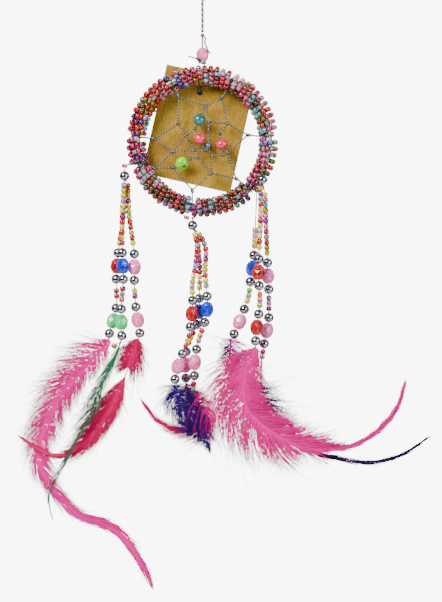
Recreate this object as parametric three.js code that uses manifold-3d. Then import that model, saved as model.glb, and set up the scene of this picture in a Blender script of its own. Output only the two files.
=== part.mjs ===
// A small dream catcher: a bead-wrapped hoop with a knotted web and three tassels of beads and feathers.
// Millimetres, +Z up, front towards -Y. The origin is the top of the hanging loop.
import * as THREE from "three";
import { LoftGeometry } from "three/addons/geometries/LoftGeometry.js";
import { mergeVertices } from "three/addons/utils/BufferGeometryUtils.js";
import Module from "manifold-3d";

const wasm = await Module();
wasm.setup();

// ---------------------------------------------------------------- driving dimensions

const GAP = 0.3; // left between pieces that touch
const CORD_DROP = 34.2; // top of the hanging loop to the knot on the cord
const RING_RADIUS = 26.4; // middle of the hoop to the middle of its wire
const RING_WIRE = 3.0; // diameter of the hoop's wire
const SEED = 2.2; // diameter of a seed bead
const SEED_PITCH = 2.1; // one seed bead to the next on a strand
const WRAP_SLACK = 0.35; // the seed winding stands this far off the wire
const CORD = 1.1; // hanging cord
const KNOT = 1.8; // diameter of that knot
const LOOP_HEIGHT = 16.5; // hanging loop, top to its own knot
const LOOP_WIDTH = 8.0;
const THREAD = 0.7; // web and tie thread
const STRAND_THREAD = 0.6; // thread inside a strand and inside the hanger bead
const HANGER_THREAD = 11.17; // top of the hoop's tie up to the knot
const HANGER_BEAD = 5.0; // diameter
const HANGER_BEAD_LENGTH = 5.5;
const WEB_BEAD = 5.4;
const SILVER_BEAD = 4.0; // diameter
const SILVER_LENGTH = 3.8;
const CRYSTAL = 5.2; // diameter of a faceted bead on a strand
const CRYSTAL_LENGTH = 6.2;
const CARD_WIDTH = 36.5;
const CARD_HEIGHT = 45;
const CARD_THICKNESS = 0.6;
const CARD_HOLE = 2.2; // diameter
const CARD_TILT = 12.8; // degrees
const FEATHER_THICKNESS = 0.8;
// The strands' courses are laid out for faceted and seed beads this wide; wider beads spread the strands.
const COURSE_CRYSTAL = 5.2;
const COURSE_SEED = 2.2;

// ---------------------------------------------------------------- sizes that follow from them

const wrapInside = RING_WIRE / 2 + WRAP_SLACK;
const wrapOutside = wrapInside + (SEED * 9) / 10;
const hitchRadius = RING_WIRE / 2 + GAP + THREAD / 2;
const tieRadius = wrapOutside + GAP + THREAD / 2;
const silverEnd = SILVER_BEAD * 0.27; // radius of a silver bead where its bore comes out
const boreRadius = STRAND_THREAD / 2 + GAP + 0.1;
const webBoreRadius = THREAD / 2 + GAP + 0.05;
const beadPitch = SILVER_LENGTH / 2 + CRYSTAL_LENGTH / 2 + GAP;
const cardFront = tieRadius + THREAD / 2 + GAP;
const tieTop = RING_RADIUS + tieRadius + THREAD / 2;
const hoopDrop = CORD_DROP + HANGER_THREAD + tieTop;
const spread = Math.max(CRYSTAL / COURSE_CRYSTAL, SEED / COURSE_SEED);

// ---------------------------------------------------------------- materials

const finish = (color, roughness, metalness = 0) =>
  new THREE.MeshStandardMaterial({ color, roughness, metalness });

const FINISH = {
  cord: finish(0x3c3c44, 0.6, 0.3),
  thread: finish(0x8f9096, 0.45, 0.5),
  wire: finish(0xb8b4a8, 0.4, 1),
  seeds: finish(0xb0506e, 0.25),
  silver: finish(0xc8c8cc, 0.15, 1),
  card: finish(0xa87f45, 0.85),
  pink: finish(0xf58ab4, 0.15),
  red: finish(0xd8203a, 0.15),
  blue: finish(0x1838c8, 0.15),
  green: finish(0x35c878, 0.15),
  teal: finish(0x3f9a98, 0.15),
  lime: finish(0xb8e020, 0.3),
  hotPink: finish(0xf01090, 0.7),
  violet: finish(0x34188c, 0.7),
  navy: finish(0x1c1248, 0.7),
  olive: finish(0x6f9070, 0.7),
};

const object = new THREE.Group();
const hoop = new THREE.Group();
hoop.position.z = -hoopDrop;
object.add(hoop);

function place(parent, name, geometry, material) {
  const mesh = new THREE.Mesh(geometry, material);
  mesh.name = name;
  parent.add(mesh);
  return mesh;
}

// ---------------------------------------------------------------- shapes

const V = (x, y, z) => new THREE.Vector3(x, y, z);
const curveThrough = (points) => new THREE.CatmullRomCurve3(points, false, "centripetal");

// The point of the hoop at an angle, in degrees from +X towards +Z, this far out and this far back.
function onHoop(angle, radius, y = 0) {
  const turn = THREE.MathUtils.degToRad(angle);
  return V(radius * Math.cos(turn), y, radius * Math.sin(turn));
}

function circle(radius, sides) {
  const points = [];
  for (let i = 0; i < sides; i += 1) {
    const turn = (i / sides) * 2 * Math.PI;
    points.push(new THREE.Vector2(radius * Math.cos(turn), radius * Math.sin(turn)));
  }
  return points;
}

function tube(curve, diameter, sides, stepLength) {
  return new THREE.ExtrudeGeometry(new THREE.Shape(circle(diameter / 2, sides)), {
    extrudePath: curve,
    steps: Math.max(2, Math.round(curve.getLength() / stepLength)),
    bevelEnabled: false,
  });
}

// An oval of points round a centre, square to a direction that isn't the Y axis.
function ovalAt(centre, direction, halfWidth, halfDepth, sides) {
  const across = V(0, 1, 0).cross(direction).normalize();
  const back = direction.clone().cross(across);
  return circle(1, sides).map((p) =>
    centre
      .clone()
      .addScaledVector(across, halfWidth * p.x)
      .addScaledVector(back, halfDepth * p.y),
  );
}

// A closed skin through oval sections on a curve. Each section is [distance along, half width, half depth].
function sweep(curve, sections, sides) {
  const length = curve.getLength();
  const rings = sections.map(([along, halfWidth, halfDepth]) => {
    const u = THREE.MathUtils.clamp(along / length, 0, 1);
    return ovalAt(curve.getPointAt(u), curve.getTangentAt(u), halfWidth, halfDepth, sides);
  });
  return new LoftGeometry(rings, { capStart: true, capEnd: true });
}

// A thread pulled straight from point to point, a little longer at both ends so that its knots hold.
function pulledThread(points, diameter, sides = 4) {
  const rings = points.map((point, i) => {
    const before = points[Math.max(0, i - 1)];
    const after = points[Math.min(points.length - 1, i + 1)];
    const direction = after.clone().sub(before).normalize();
    const overlap = (i === 0 ? -0.3 : i === points.length - 1 ? 0.3 : 0) * diameter;
    const centre = point.clone().addScaledVector(direction, overlap);
    return ovalAt(centre, direction, diameter / 2, diameter / 2, sides);
  });
  return new LoftGeometry(rings, { capStart: true, capEnd: true });
}

// A bead with a bore along its axis: the ends are narrower than the waist.
function boredBead(diameter, length, bore, sides) {
  const endRadius = Math.max(bore + 0.4, diameter * 0.3);
  const profile = [
    [bore, -length / 2],
    [endRadius, -length / 2],
    [diameter / 2, -length / 6],
    [diameter / 2, length / 6],
    [endRadius, length / 2],
    [bore, length / 2],
    [bore, -length / 2],
  ].map(([r, z]) => new THREE.Vector2(r, z));
  return new THREE.LatheGeometry(profile, sides);
}

// Lathe shapes stand along Y; this lays one along a direction, with its middle at a point.
function threadOn(mesh, point, direction) {
  mesh.position.copy(point);
  mesh.quaternion.setFromUnitVectors(V(0, 1, 0), direction.clone().normalize());
  return mesh;
}

// ---------------------------------------------------------------- joining

function solid(geometry) {
  const plain = geometry.clone();
  plain.deleteAttribute("normal");
  plain.deleteAttribute("uv");
  const merged = mergeVertices(plain, 1e-4);
  return new wasm.Manifold(
    new wasm.Mesh({
      numProp: 3,
      vertProperties: new Float32Array(merged.attributes.position.array),
      triVerts: new Uint32Array(merged.index.array),
    }),
  );
}

function joined(geometries) {
  const result = geometries.map(solid).reduce((all, next) => all.add(next));
  const { vertProperties, triVerts } = result.getMesh();
  const geometry = new THREE.BufferGeometry();
  geometry.setAttribute("position", new THREE.BufferAttribute(new Float32Array(vertProperties), 3));
  geometry.setIndex(Array.from(triVerts));
  geometry.computeVertexNormals();
  return geometry;
}

// A straight length of thread, a little longer than the two points so that its joints hold.
function rod(from, to, diameter, sides = 4) {
  const length = from.distanceTo(to) + diameter * 0.6;
  const geometry = new THREE.CylinderGeometry(diameter / 2, diameter / 2, length, sides);
  const turn = new THREE.Quaternion().setFromUnitVectors(V(0, 1, 0), to.clone().sub(from).normalize());
  geometry.applyQuaternion(turn);
  const middle = from.clone().add(to).multiplyScalar(0.5);
  return geometry.translate(middle.x, middle.y, middle.z);
}

function ball(centre, radius, detail = 0) {
  const shape = detail ? THREE.IcosahedronGeometry : THREE.OctahedronGeometry;
  return new shape(radius, detail).translate(centre.x, centre.y, centre.z);
}

// A ring of thread round the hoop's wire at an angle.
function ringRoundHoop(angle, radius, thread, sides = 8) {
  const geometry = new THREE.TorusGeometry(radius, thread / 2, 4, sides);
  geometry.rotateY(-THREE.MathUtils.degToRad(angle));
  const at = onHoop(angle, RING_RADIUS);
  return geometry.translate(at.x, at.y, at.z);
}

// ---------------------------------------------------------------- cord and hanger, at the object's own height

const knotZ = -CORD_DROP;
const loopKnotZ = -LOOP_HEIGHT - CORD;
const loopKnotHeight = 2 * CORD;

// Straight up from the knot, round the loop and back down to the loop's own knot.
const cordRoute = [
  V(0, 0, knotZ + KNOT / 2 + GAP),
  V(0, 0, (knotZ + loopKnotZ) / 2),
  V(0, 0, loopKnotZ),
  V(LOOP_WIDTH * 0.1, 0, -LOOP_HEIGHT * 0.92),
  V(LOOP_WIDTH * 0.36, 0, -LOOP_HEIGHT * 0.65),
  V((LOOP_WIDTH - CORD) / 2, 0, -LOOP_HEIGHT * 0.34),
  V(LOOP_WIDTH * 0.32, 0, -LOOP_HEIGHT * 0.1),
  V(0, 0, -CORD / 2),
  V(-LOOP_WIDTH * 0.32, 0, -LOOP_HEIGHT * 0.1),
  V(-(LOOP_WIDTH - CORD) / 2, 0, -LOOP_HEIGHT * 0.34),
  V(-LOOP_WIDTH * 0.36, 0, -LOOP_HEIGHT * 0.65),
  V(-CORD - GAP, 0, loopKnotZ + loopKnotHeight / 2 + CORD),
];
place(object, "hanging_cord", tube(curveThrough(cordRoute), CORD, 8, 2.5 * CORD), FINISH.cord);

const loopKnot = place(
  object,
  "loop_knot",
  boredBead(3.4 * CORD, loopKnotHeight, CORD / 2 + GAP, 8),
  FINISH.cord,
);
threadOn(loopKnot, V(0, 0, loopKnotZ - 0.8 * CORD), V(0, 0, 1));

// The knot, and the thread that runs down from it through the hanger bead to the hoop's tie.
const hangerKnotAt = V(0, 0, tieTop + HANGER_THREAD);
place(
  hoop,
  "hanger_knot",
  joined([
    ball(hangerKnotAt, KNOT / 2, 1),
    rod(hangerKnotAt, V(0, 0, tieTop + GAP + STRAND_THREAD * 0.3), STRAND_THREAD),
  ]),
  FINISH.cord,
);
const hangerBead = place(
  hoop,
  "hanger_bead",
  boredBead(HANGER_BEAD, HANGER_BEAD_LENGTH, boreRadius, 8),
  FINISH.pink,
);
threadOn(hangerBead, V(0, 0, tieTop + 2 * GAP + HANGER_BEAD_LENGTH / 2), V(0, 0, 1));

// ---------------------------------------------------------------- hoop, its winding and its web

const wire = new THREE.TorusGeometry(RING_RADIUS, RING_WIRE / 2, 8, 40);
place(hoop, "hoop_ring", wire.rotateX(Math.PI / 2), FINISH.wire);

// Where the web is hitched round the wire, in degrees; the seed winding fills the wire in between.
const HITCHES = [-158, -99.7, -45.7, 4.5, 64.4, 117.8, 176.2];
const hitchGap = THREE.MathUtils.radToDeg((THREAD / 2 + GAP) / RING_RADIUS);

function windingBetween(from, to) {
  const shape = new THREE.Shape(circle(wrapOutside, 9));
  shape.holes.push(new THREE.Path(circle(wrapInside / Math.cos(Math.PI / 8), 8).reverse()));
  const steps = Math.ceil((to - from) / 10);
  const points = [];
  for (let i = 0; i <= 4 * steps; i += 1) {
    points.push(onHoop(from + ((to - from) * i) / (4 * steps), RING_RADIUS));
  }
  return new THREE.ExtrudeGeometry(shape, {
    extrudePath: curveThrough(points),
    steps,
    bevelEnabled: false,
  });
}

HITCHES.forEach((angle, i) => {
  const next = HITCHES[i + 1] ?? HITCHES[0] + 360;
  const margin = hitchGap * 1.05;
  place(hoop, "hoop_beads_" + (i + 1), windingBetween(angle + margin, next - margin), FINISH.seeds);
});

// The web is drawn in an opening of radius 1, so that it stretches with the opening inside the winding.
const openingRadius = RING_RADIUS - wrapOutside;
const web = (x, z) => V(x * openingRadius, 0, z * openingRadius);
const BEAD_AT = {
  teal: web(-0.053, 0.381),
  pink: web(-0.049, 0.044),
  pinkRight: web(0.338, -0.049),
  lime: web(-0.364, -0.387),
};

// A point on the thread that runs past a bead without touching it.
function beside(bead, angle, extra = 0) {
  const reach = WEB_BEAD / 2 + GAP + THREAD / 2 + extra;
  return bead.clone().add(onHoop(angle, reach));
}

// The point beyond a bead, on the line from another point through the bead's middle.
function through(from, bead, share) {
  return bead.clone().add(bead.clone().sub(from).multiplyScalar(share));
}

const necks = [
  web(-0.842, -0.474),
  web(-0.181, -0.868),
  web(0.594, -0.66),
  web(0.806, 0.111),
  web(0.337, 0.763),
  web(-0.412, 0.788),
  web(-0.842, 0.049),
];
const valleys = [
  web(-0.515, -0.466),
  web(0.146, -0.563),
  web(0.456, -0.186),
  web(0.439, 0.319),
  web(0.053, 0.62),
  web(-0.429, 0.31),
  web(-0.528, -0.191),
];
const tealFoot = web(-0.124, 0.221);
const passTeal = beside(BEAD_AT.teal, -12, 0.5);
const passBetween = beside(BEAD_AT.pink, 42, 1.2);
const passPink = beside(BEAD_AT.pink, -8, 0.2);
const underPink = through(tealFoot, BEAD_AT.pink, 1.15);
const crossing = web(0.089, -0.125);
const lowCrossing = web(0.181, -0.253);
const rightTop = web(0.31, 0.137);
const rightFoot = through(rightTop, BEAD_AT.pinkRight, 1.03);
const leftMiddle = web(-0.288, 0.115);
const innerLeft = web(-0.234, 0);
const innerLow = web(-0.119, -0.156);
const innerFoot = web(-0.071, -0.292);
const limeEnd = through(valleys[0], BEAD_AT.lime, 1.0);

const THREADS = [
  [valleys[5], leftMiddle, valleys[6]],
  [leftMiddle, tealFoot, valleys[4]],
  [valleys[4], passTeal, passBetween, passPink, crossing],
  [passTeal, valleys[3], rightTop, rightFoot],
  [valleys[6], innerLow, underPink, crossing, lowCrossing, rightFoot, valleys[2]],
  [tealFoot, underPink],
  [innerLeft, innerLow, innerFoot, limeEnd, valleys[0]],
  [leftMiddle, innerLeft],
  [innerFoot, valleys[1], lowCrossing],
];

function webPieces() {
  const pieces = THREADS.map((run) => pulledThread(run, THREAD));
  HITCHES.forEach((angle, i) => {
    const mouth = onHoop(angle, RING_RADIUS - wrapOutside - GAP - THREAD);
    pieces.push(ringRoundHoop(angle, hitchRadius, THREAD));
    pieces.push(pulledThread([onHoop(angle, RING_RADIUS - hitchRadius), mouth, necks[i]], THREAD));
    pieces.push(pulledThread([necks[i], valleys[i], necks[(i + 1) % necks.length]], THREAD));
  });
  return pieces;
}
place(hoop, "web_thread", joined(webPieces()), FINISH.thread);

const WEB_BEADS = [
  ["web_bead_teal", BEAD_AT.teal, tealFoot, FINISH.teal],
  ["web_bead_pink_centre", BEAD_AT.pink, tealFoot, FINISH.pink],
  ["web_bead_pink_right", BEAD_AT.pinkRight, rightTop, FINISH.pink],
  ["web_bead_lime", BEAD_AT.lime, valleys[0], FINISH.lime],
];
for (const [name, at, towards, material] of WEB_BEADS) {
  const geometry = boredBead(WEB_BEAD, WEB_BEAD * 0.86, webBoreRadius, 8);
  threadOn(place(hoop, name, geometry, material), at, towards.clone().sub(at));
}

// ---------------------------------------------------------------- card behind the hoop

const card = new THREE.Group();
const CARD_HOLE_AT = new THREE.Vector2(-2.6, CARD_HEIGHT / 2 - 8.3);
card.rotation.y = THREE.MathUtils.degToRad(CARD_TILT);
card.position.set(-1.7, cardFront + CARD_THICKNESS, 0.216 * RING_RADIUS);
hoop.add(card);

function cardPlate() {
  const halfWidth = CARD_WIDTH / 2;
  const halfHeight = CARD_HEIGHT / 2;
  const plate = new THREE.Shape([
    new THREE.Vector2(-halfWidth, -halfHeight),
    new THREE.Vector2(halfWidth, -halfHeight),
    new THREE.Vector2(halfWidth, halfHeight),
    new THREE.Vector2(-halfWidth, halfHeight),
  ]);
  const hole = circle(CARD_HOLE / 2, 10).map((p) => p.add(CARD_HOLE_AT));
  plate.holes.push(new THREE.Path(hole.reverse()));
  const geometry = new THREE.ExtrudeGeometry(plate, { depth: CARD_THICKNESS, bevelEnabled: false });
  return geometry.rotateX(Math.PI / 2);
}
place(card, "card", cardPlate(), FINISH.card);

// The tie round the top of the hoop, and the card's string, which ends in a knot behind the card.
card.updateMatrix();
const holeAt = V(CARD_HOLE_AT.x, 0, CARD_HOLE_AT.y).applyMatrix4(card.matrix);
const stringFront = V(holeAt.x, tieRadius, holeAt.z);
const stringKnotRadius = CARD_HOLE / 2 + 0.3;
const stringEnd = V(holeAt.x, holeAt.y + GAP + stringKnotRadius, holeAt.z);
place(
  hoop,
  "hanger_tie",
  joined([
    ringRoundHoop(90, tieRadius, THREAD, 16),
    rod(V(0, tieRadius, RING_RADIUS), stringFront, THREAD),
    ball(stringFront, THREAD * 0.6),
    rod(stringFront, stringEnd, THREAD),
    ball(stringEnd, stringKnotRadius),
  ]),
  FINISH.thread,
);

// ---------------------------------------------------------------- tassels

// Every course is a list of [right, up] offsets: a strand's from the bottom of its tassel's head bead, a
// feather's from the end of its strand. "headThread" is the bare thread above the head bead, and "back"
// is how far a strand hangs behind the pivot. "first" and "second" are
// the distances down a strand to the silver bead that opens each group of silver, crystal, silver.
const TASSELS = [
  {
    name: "left",
    angle: 197.5,
    leaves: "outside",
    lead: V(-1.7, 0, -0.5),
    knot: SEED,
    headThread: 0.7,
    strands: [
      {
        name: "front",
        back: -2.9,
        course: [
          [0, -0.5], [-0.7, -14.3], [-0.7, -28.9], [-0.3, -39.4], [-1.1, -51.2], [-0.9, -61.9],
          [-1.3, -64.6],
        ],
        first: 28.4,
        second: 50.8,
        seeds: 12,
        between: 3,
        crystals: ["blue", "green"],
        feather: {
          name: "feather_olive",
          finish: "olive",
          vane: 2.2,
          tail: 0.9,
          fluff: 0.35,
          course: [
            [-2.4, -5.4], [-8.9, -19.7], [-11, -26.8], [-21, -45.4], [-28.5, -58.9],
            [-28.5, -63.3], [-27.1, -70.7],
          ],
        },
      },
      {
        name: "middle",
        back: 0,
        course: [
          [1.2, -0.5], [1.9, -14.3], [3.9, -29.2], [3.9, -39.8], [4.5, -50.1], [6.1, -60.8],
          [5.7, -62.9],
        ],
        first: 28.9,
        second: 50.1,
        seeds: 12,
        between: 2,
        crystals: ["pink", "pink"],
        feather: {
          name: "feather_rose_hooked",
          finish: "hotPink",
          vane: 4,
          tail: 1.9,
          fluff: 0.35,
          course: [
            [-2.4, -5.6], [-4.4, -12.8], [-13, -32.8], [-20.2, -40], [-33, -46.7], [-38.8, -44.6],
            [-49.1, -37.8],
          ],
        },
      },
      {
        name: "back",
        back: 2.6,
        course: [
          [-0.2, -0.5], [-0.7, -14.3], [-2.7, -28.7], [-3.5, -39.4], [-3.5, -50.7], [-6.1, -60.5],
          [-6.5, -62.7],
        ],
        first: 28.4,
        second: 50.6,
        seeds: 12,
        between: 2,
        crystals: ["red", "green"],
        feather: {
          name: "feather_pink_long",
          finish: "hotPink",
          vane: 6,
          tail: 2.3,
          fluff: 0.3,
          course: [
            [-8, -9.4], [-18, -20.2], [-23.7, -30.2], [-26.6, -41.6], [-25.4, -51], [-15.8, -65.8],
            [-9.4, -71.6], [-2.2, -72.3], [3.4, -75.2], [14.9, -91.6], [18, -99.8],
          ],
        },
      },
    ],
  },
  {
    name: "middle",
    angle: 264.5,
    leaves: "outside",
    lead: V(-1, 0, 0.1),
    knot: THREAD * 1.2,
    headThread: 0.28,
    strands: [
      {
        name: "front",
        back: -2.3,
        course: [
          [0.7, -0.6], [1.9, -6.6], [1.2, -14.6], [-0.1, -21.9], [0.1, -28.2], [-0.2, -33.7],
          [-0.9, -38.8], [-1.7, -43.6], [-3.9, -49.2], [-6.2, -55.7], [-7.2, -61.1],
        ],
        first: 27.8,
        second: 49.6,
        seeds: 12,
        between: 3,
        crystals: ["red", "pink"],
        feather: {
          name: "feather_violet",
          finish: "violet",
          vane: 5,
          tail: 2.6,
          fluff: 0.6,
          course: [[0.8, -4.5], [2.9, -8.3], [9.3, -13.9], [12.8, -20.3], [14.4, -26.7]],
        },
      },
      {
        name: "middle",
        back: -0.3,
        course: [
          [2.1, -0.6], [5.2, -7.2], [5, -17.2], [5.8, -26.2], [5.8, -31.4], [4.9, -36.7],
          [2.6, -43.6], [1.4, -48.7], [0.8, -53.7], [0.8, -57.7], [0.4, -61.5], [0, -64.8],
        ],
        first: 26.6,
        second: 48.4,
        seeds: 11,
        between: 3,
        tailSeeds: 3,
        crystals: ["blue", "pink"],
      },
      {
        name: "back",
        back: 4.2,
        course: [
          [1.4, -0.6], [2.6, -9.6], [2.8, -19.6], [2.4, -32.1], [1.6, -38.1], [-1, -43.6],
          [-2.6, -48.6], [-3, -52.6], [-2.8, -60.2],
        ],
        first: 26.8,
        second: 49.2,
        seeds: 11,
        between: 3,
        crystals: ["blue", "pink"],
        feather: {
          name: "feather_pink_curl",
          finish: "hotPink",
          vane: 2.2,
          tail: 1.2,
          fluff: 0.4,
          course: [
            [5.8, -8.4], [8.6, -14], [6.3, -17.4], [-3.1, -18.4], [-8.7, -16.8], [-14.2, -11.6],
            [-19.2, -4.5],
          ],
        },
      },
    ],
  },
  {
    name: "right",
    angle: -22,
    leaves: "front",
    lead: V(-0.8, -1.75, -2.7),
    knot: THREAD * 1.6,
    headThread: 0.44,
    strands: [
      {
        name: "front",
        back: -3.4,
        course: [
          [-0.7, -0.4], [-0.7, -12.3], [-1.2, -24.3], [-1.6, -35.2], [-1, -46.3],
          [-2.2, -56.2], [-2.7, -61.8], [-2.7, -64.1],
        ],
        first: 29.1,
        second: 50.9,
        seeds: 12,
        between: 3,
        crystals: ["red", "red"],
        feather: {
          name: "feather_pink_sickle",
          finish: "hotPink",
          vane: 7.5,
          tail: 1.2,
          fluff: 0.3,
          course: [
            [-3.6, -7.6], [-4.8, -17.6], [-2.2, -27], [8.9, -33.4], [16.1, -38.2], [28, -39.4],
            [37.6, -37.8], [47.1, -33.4], [54.3, -27], [58.2, -19.1], [60.2, -10.7],
          ],
        },
      },
      {
        name: "middle",
        back: 1.5,
        course: [
          [-1.9, -0.4], [-2.5, -12.3], [-3.2, -27.9], [-4.6, -37.9], [-5.3, -43.9],
          [-7.6, -50.9], [-10, -56.9], [-12.6, -61.9],
        ],
        first: 27.6,
        second: 49.4,
        bare: 16.5,
        seeds: 4,
        between: 3,
        crystals: ["blue", "pink"],
        feather: {
          name: "feather_navy",
          finish: "navy",
          vane: 4,
          tail: 1.1,
          fluff: 0.25,
          course: [
            [0.1, -8.6], [4.1, -17.4], [11, -26.8], [31.7, -43.6], [42.1, -46.7],
            [51.6, -49.1], [62, -48.3], [71.5, -45.2], [82.3, -38.8],
          ],
        },
      },
      {
        name: "back",
        back: 3.2,
        course: [
          [0.7, -0.4], [1.3, -6.3], [1.7, -18.3], [2.1, -27.9], [2.3, -35.7], [2.7, -41.6],
          [2.7, -52.6], [2.1, -57.1], [1, -62.3], [0.1, -68.3],
        ],
        first: 30.5,
        second: 52.3,
        bare: 2.5,
        seeds: 12,
        between: 3,
        tailSeeds: 2,
        crystals: ["pink", "pink"],
        feather: {
          name: "feather_rose_short",
          finish: "hotPink",
          vane: 3,
          tail: 1.2,
          fluff: 0.4,
          course: [[0, -9.8], [2.2, -20.4], [6.1, -29.6], [18.8, -36.8], [26.8, -41.1]],
        },
      },
    ],
  },
];

// The radius of a strand: bare thread, with a bump for each seed and each silver bead.
function strandSections(strand, length) {
  const bare = STRAND_THREAD / 2;
  const valley = SEED * 0.36;
  const sections = [[0, bare]];
  const column = (start, count) => {
    if (count === 0) return;
    sections.push([start - 0.1, bare]);
    for (let i = 0; i < count; i += 1) {
      sections.push([start + i * SEED_PITCH, valley], [start + (i + 0.5) * SEED_PITCH, SEED / 2]);
    }
    const end = start + count * SEED_PITCH;
    sections.push([end, valley], [end + 0.1, bare]);
  };
  const silver = (at) => {
    const half = SILVER_LENGTH / 2;
    sections.push([at - half - 0.05, bare], [at - half, silverEnd], [at - half * 0.4, SILVER_BEAD / 2]);
    sections.push([at + half * 0.4, SILVER_BEAD / 2], [at + half, silverEnd], [at + half + 0.05, bare]);
  };
  const { first, second, seeds, between, bare: start = 0.4, tailSeeds = 0 } = strand;
  column(start, Math.min(seeds, Math.floor((first - SILVER_LENGTH / 2 - 0.3 - start) / SEED_PITCH)));
  silver(first);
  silver(first + 2 * beadPitch);
  const groupEnd = first + 2 * beadPitch + SILVER_LENGTH / 2;
  const room = second - SILVER_LENGTH / 2 - groupEnd;
  const count = Math.min(between, Math.floor((room - 0.5) / SEED_PITCH));
  column(groupEnd + (room - count * SEED_PITCH) / 2, count);
  silver(second);
  silver(second + 2 * beadPitch);
  column(second + 2 * beadPitch + SILVER_LENGTH / 2 + 0.3, tailSeeds);
  sections.push([length, bare]);
  return sections.map(([along, radius]) => [along, radius, radius]);
}

// Half width of a feather: the fluffy part by the quill, then the narrow tail, closing to a tip.
function featherSections(feather, length) {
  const sections = [];
  const count = 14;
  for (let i = 0; i <= count; i += 1) {
    const u = i / count;
    const fluff = Math.max(0, Math.sin(Math.PI * Math.min(1, (u / feather.fluff) * 0.5 + 0.08)));
    const shoulder = Math.min(1, u / 0.08);
    const tip = Math.sqrt(Math.max(0, 1 - u));
    const vane = u < feather.fluff * 1.84 ? (feather.vane - feather.tail) * fluff : 0;
    const half = 0.35 + shoulder * tip * (feather.tail + vane);
    sections.push([u * length, half, (FEATHER_THICKNESS / 2) * (0.5 + 0.5 * tip)]);
  }
  return sections;
}

// The curve through the points, with its last point moved on so that it is as long as its beads need.
function lengthened(points, length) {
  const [before, last] = points.slice(-2);
  const onward = last.clone().sub(before).normalize();
  last.addScaledVector(onward, length - curveThrough(points).getLength());
  return curveThrough(points);
}

function addStrand(tassel, headBottom, strand) {
  const title = tassel.name + "_strand_" + strand.name;
  const offset = ([right, up]) => V(right * spread, strand.back * spread, up);
  const points = strand.course.map((step) => offset(step).add(headBottom));
  const length =
    strand.second + 2 * beadPitch + SILVER_LENGTH / 2 + (strand.tailSeeds ?? 0) * SEED_PITCH + 3 * GAP;
  const curve = lengthened(points, length);
  place(hoop, title, sweep(curve, strandSections(strand, length), 5), FINISH.silver);
  [strand.first, strand.second].forEach((opening, i) => {
    const u = (opening + beadPitch) / length;
    const geometry = boredBead(CRYSTAL, CRYSTAL_LENGTH, boreRadius, 8);
    const name = tassel.name + "_crystal_" + strand.name + (i ? "_lower" : "_upper");
    const mesh = place(hoop, name, geometry, FINISH[strand.crystals[i]]);
    threadOn(mesh, curve.getPointAt(u), curve.getTangentAt(u));
  });
  if (!strand.feather) return;
  const end = curve.getPointAt(1);
  const { feather } = strand;
  const fromEnd = ([right, up]) => end.clone().add(V(right, 0, up));
  const quill = curveThrough([[0, -2 * GAP], ...feather.course].map(fromEnd));
  const sections = featherSections(feather, quill.getLength());
  place(hoop, feather.name, sweep(quill, sections, 6), FINISH[feather.finish]);
}

for (const tassel of TASSELS) {
  const outside = tassel.leaves === "outside";
  const tieEnd = outside
    ? onHoop(tassel.angle, RING_RADIUS + tieRadius)
    : onHoop(tassel.angle, RING_RADIUS, -tieRadius);
  const pivot = tieEnd.clone().add(tassel.lead);
  const tie = [
    ringRoundHoop(tassel.angle, tieRadius, THREAD, 16),
    ball(pivot, tassel.knot / 2, 1),
    rod(tieEnd, pivot, THREAD),
  ];
  place(hoop, tassel.name + "_tie", joined(tie), FINISH.thread);

  const half = SILVER_LENGTH / 2;
  const headTop = pivot.clone().sub(V(0, 0, tassel.knot / 2 + GAP));
  const headBottom = headTop.clone().sub(V(0, 0, tassel.headThread + SILVER_LENGTH));
  const middle = tassel.headThread + half;
  const head = [
    [0, STRAND_THREAD / 2],
    [middle - half, STRAND_THREAD / 2],
    [middle - half + 0.02, silverEnd],
    [middle - half * 0.4, SILVER_BEAD / 2],
    [middle + half * 0.4, SILVER_BEAD / 2],
    [middle + half, silverEnd],
  ].map(([along, radius]) => [along, radius, radius]);
  const down = curveThrough([headTop, headBottom]);
  place(hoop, tassel.name + "_head_bead", sweep(down, head, 8), FINISH.silver);
  tassel.strands.forEach((strand) => addStrand(tassel, headBottom, strand));
}

export default object;
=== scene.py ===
"""A small beaded dream catcher on its hanging cord: the finished surfaces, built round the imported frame.

Lengths in the tables are millimetres and MM turns them to metres. Front is -Y and up is +Z.
"""

import math
from collections import namedtuple

import bmesh
import bpy
import numpy as np
from mathutils import Matrix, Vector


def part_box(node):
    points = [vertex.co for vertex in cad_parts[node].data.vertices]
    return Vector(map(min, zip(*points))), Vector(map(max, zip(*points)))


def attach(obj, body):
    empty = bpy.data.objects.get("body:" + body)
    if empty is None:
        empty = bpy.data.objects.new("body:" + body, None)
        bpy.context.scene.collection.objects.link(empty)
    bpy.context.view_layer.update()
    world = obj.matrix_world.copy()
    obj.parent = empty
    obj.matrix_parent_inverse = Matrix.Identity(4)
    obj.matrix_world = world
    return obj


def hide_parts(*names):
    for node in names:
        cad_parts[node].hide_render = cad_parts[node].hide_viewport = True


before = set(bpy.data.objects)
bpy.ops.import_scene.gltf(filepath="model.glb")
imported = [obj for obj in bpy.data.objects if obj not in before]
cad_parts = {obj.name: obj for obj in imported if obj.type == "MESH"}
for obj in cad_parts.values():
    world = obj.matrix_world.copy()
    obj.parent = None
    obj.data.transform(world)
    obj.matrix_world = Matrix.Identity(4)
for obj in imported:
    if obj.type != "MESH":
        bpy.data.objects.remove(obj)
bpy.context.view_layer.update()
MM = 0.001

# ---------------------------------------------------------------- sizes that the pieces share

RING_RADIUS = 26.4
OPENING_RADIUS = 22.57
WIRE_RADIUS = 1.5
TIE_RADIUS = 4.48
TIE_SUNK = 3.1
SEED_RADIUS = 1.1
SEED_LENGTH = 1.55
SEED_HOLE = 0.38
SEED_PITCH = 2.1
SILVER_RADIUS = 2.0
SILVER_LENGTH = 3.8
BEAD_PITCH = 5.3
THREAD_RADIUS = 0.31
STRING_RADIUS = 0.36
CORD_DIAMETER = 1.1


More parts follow.
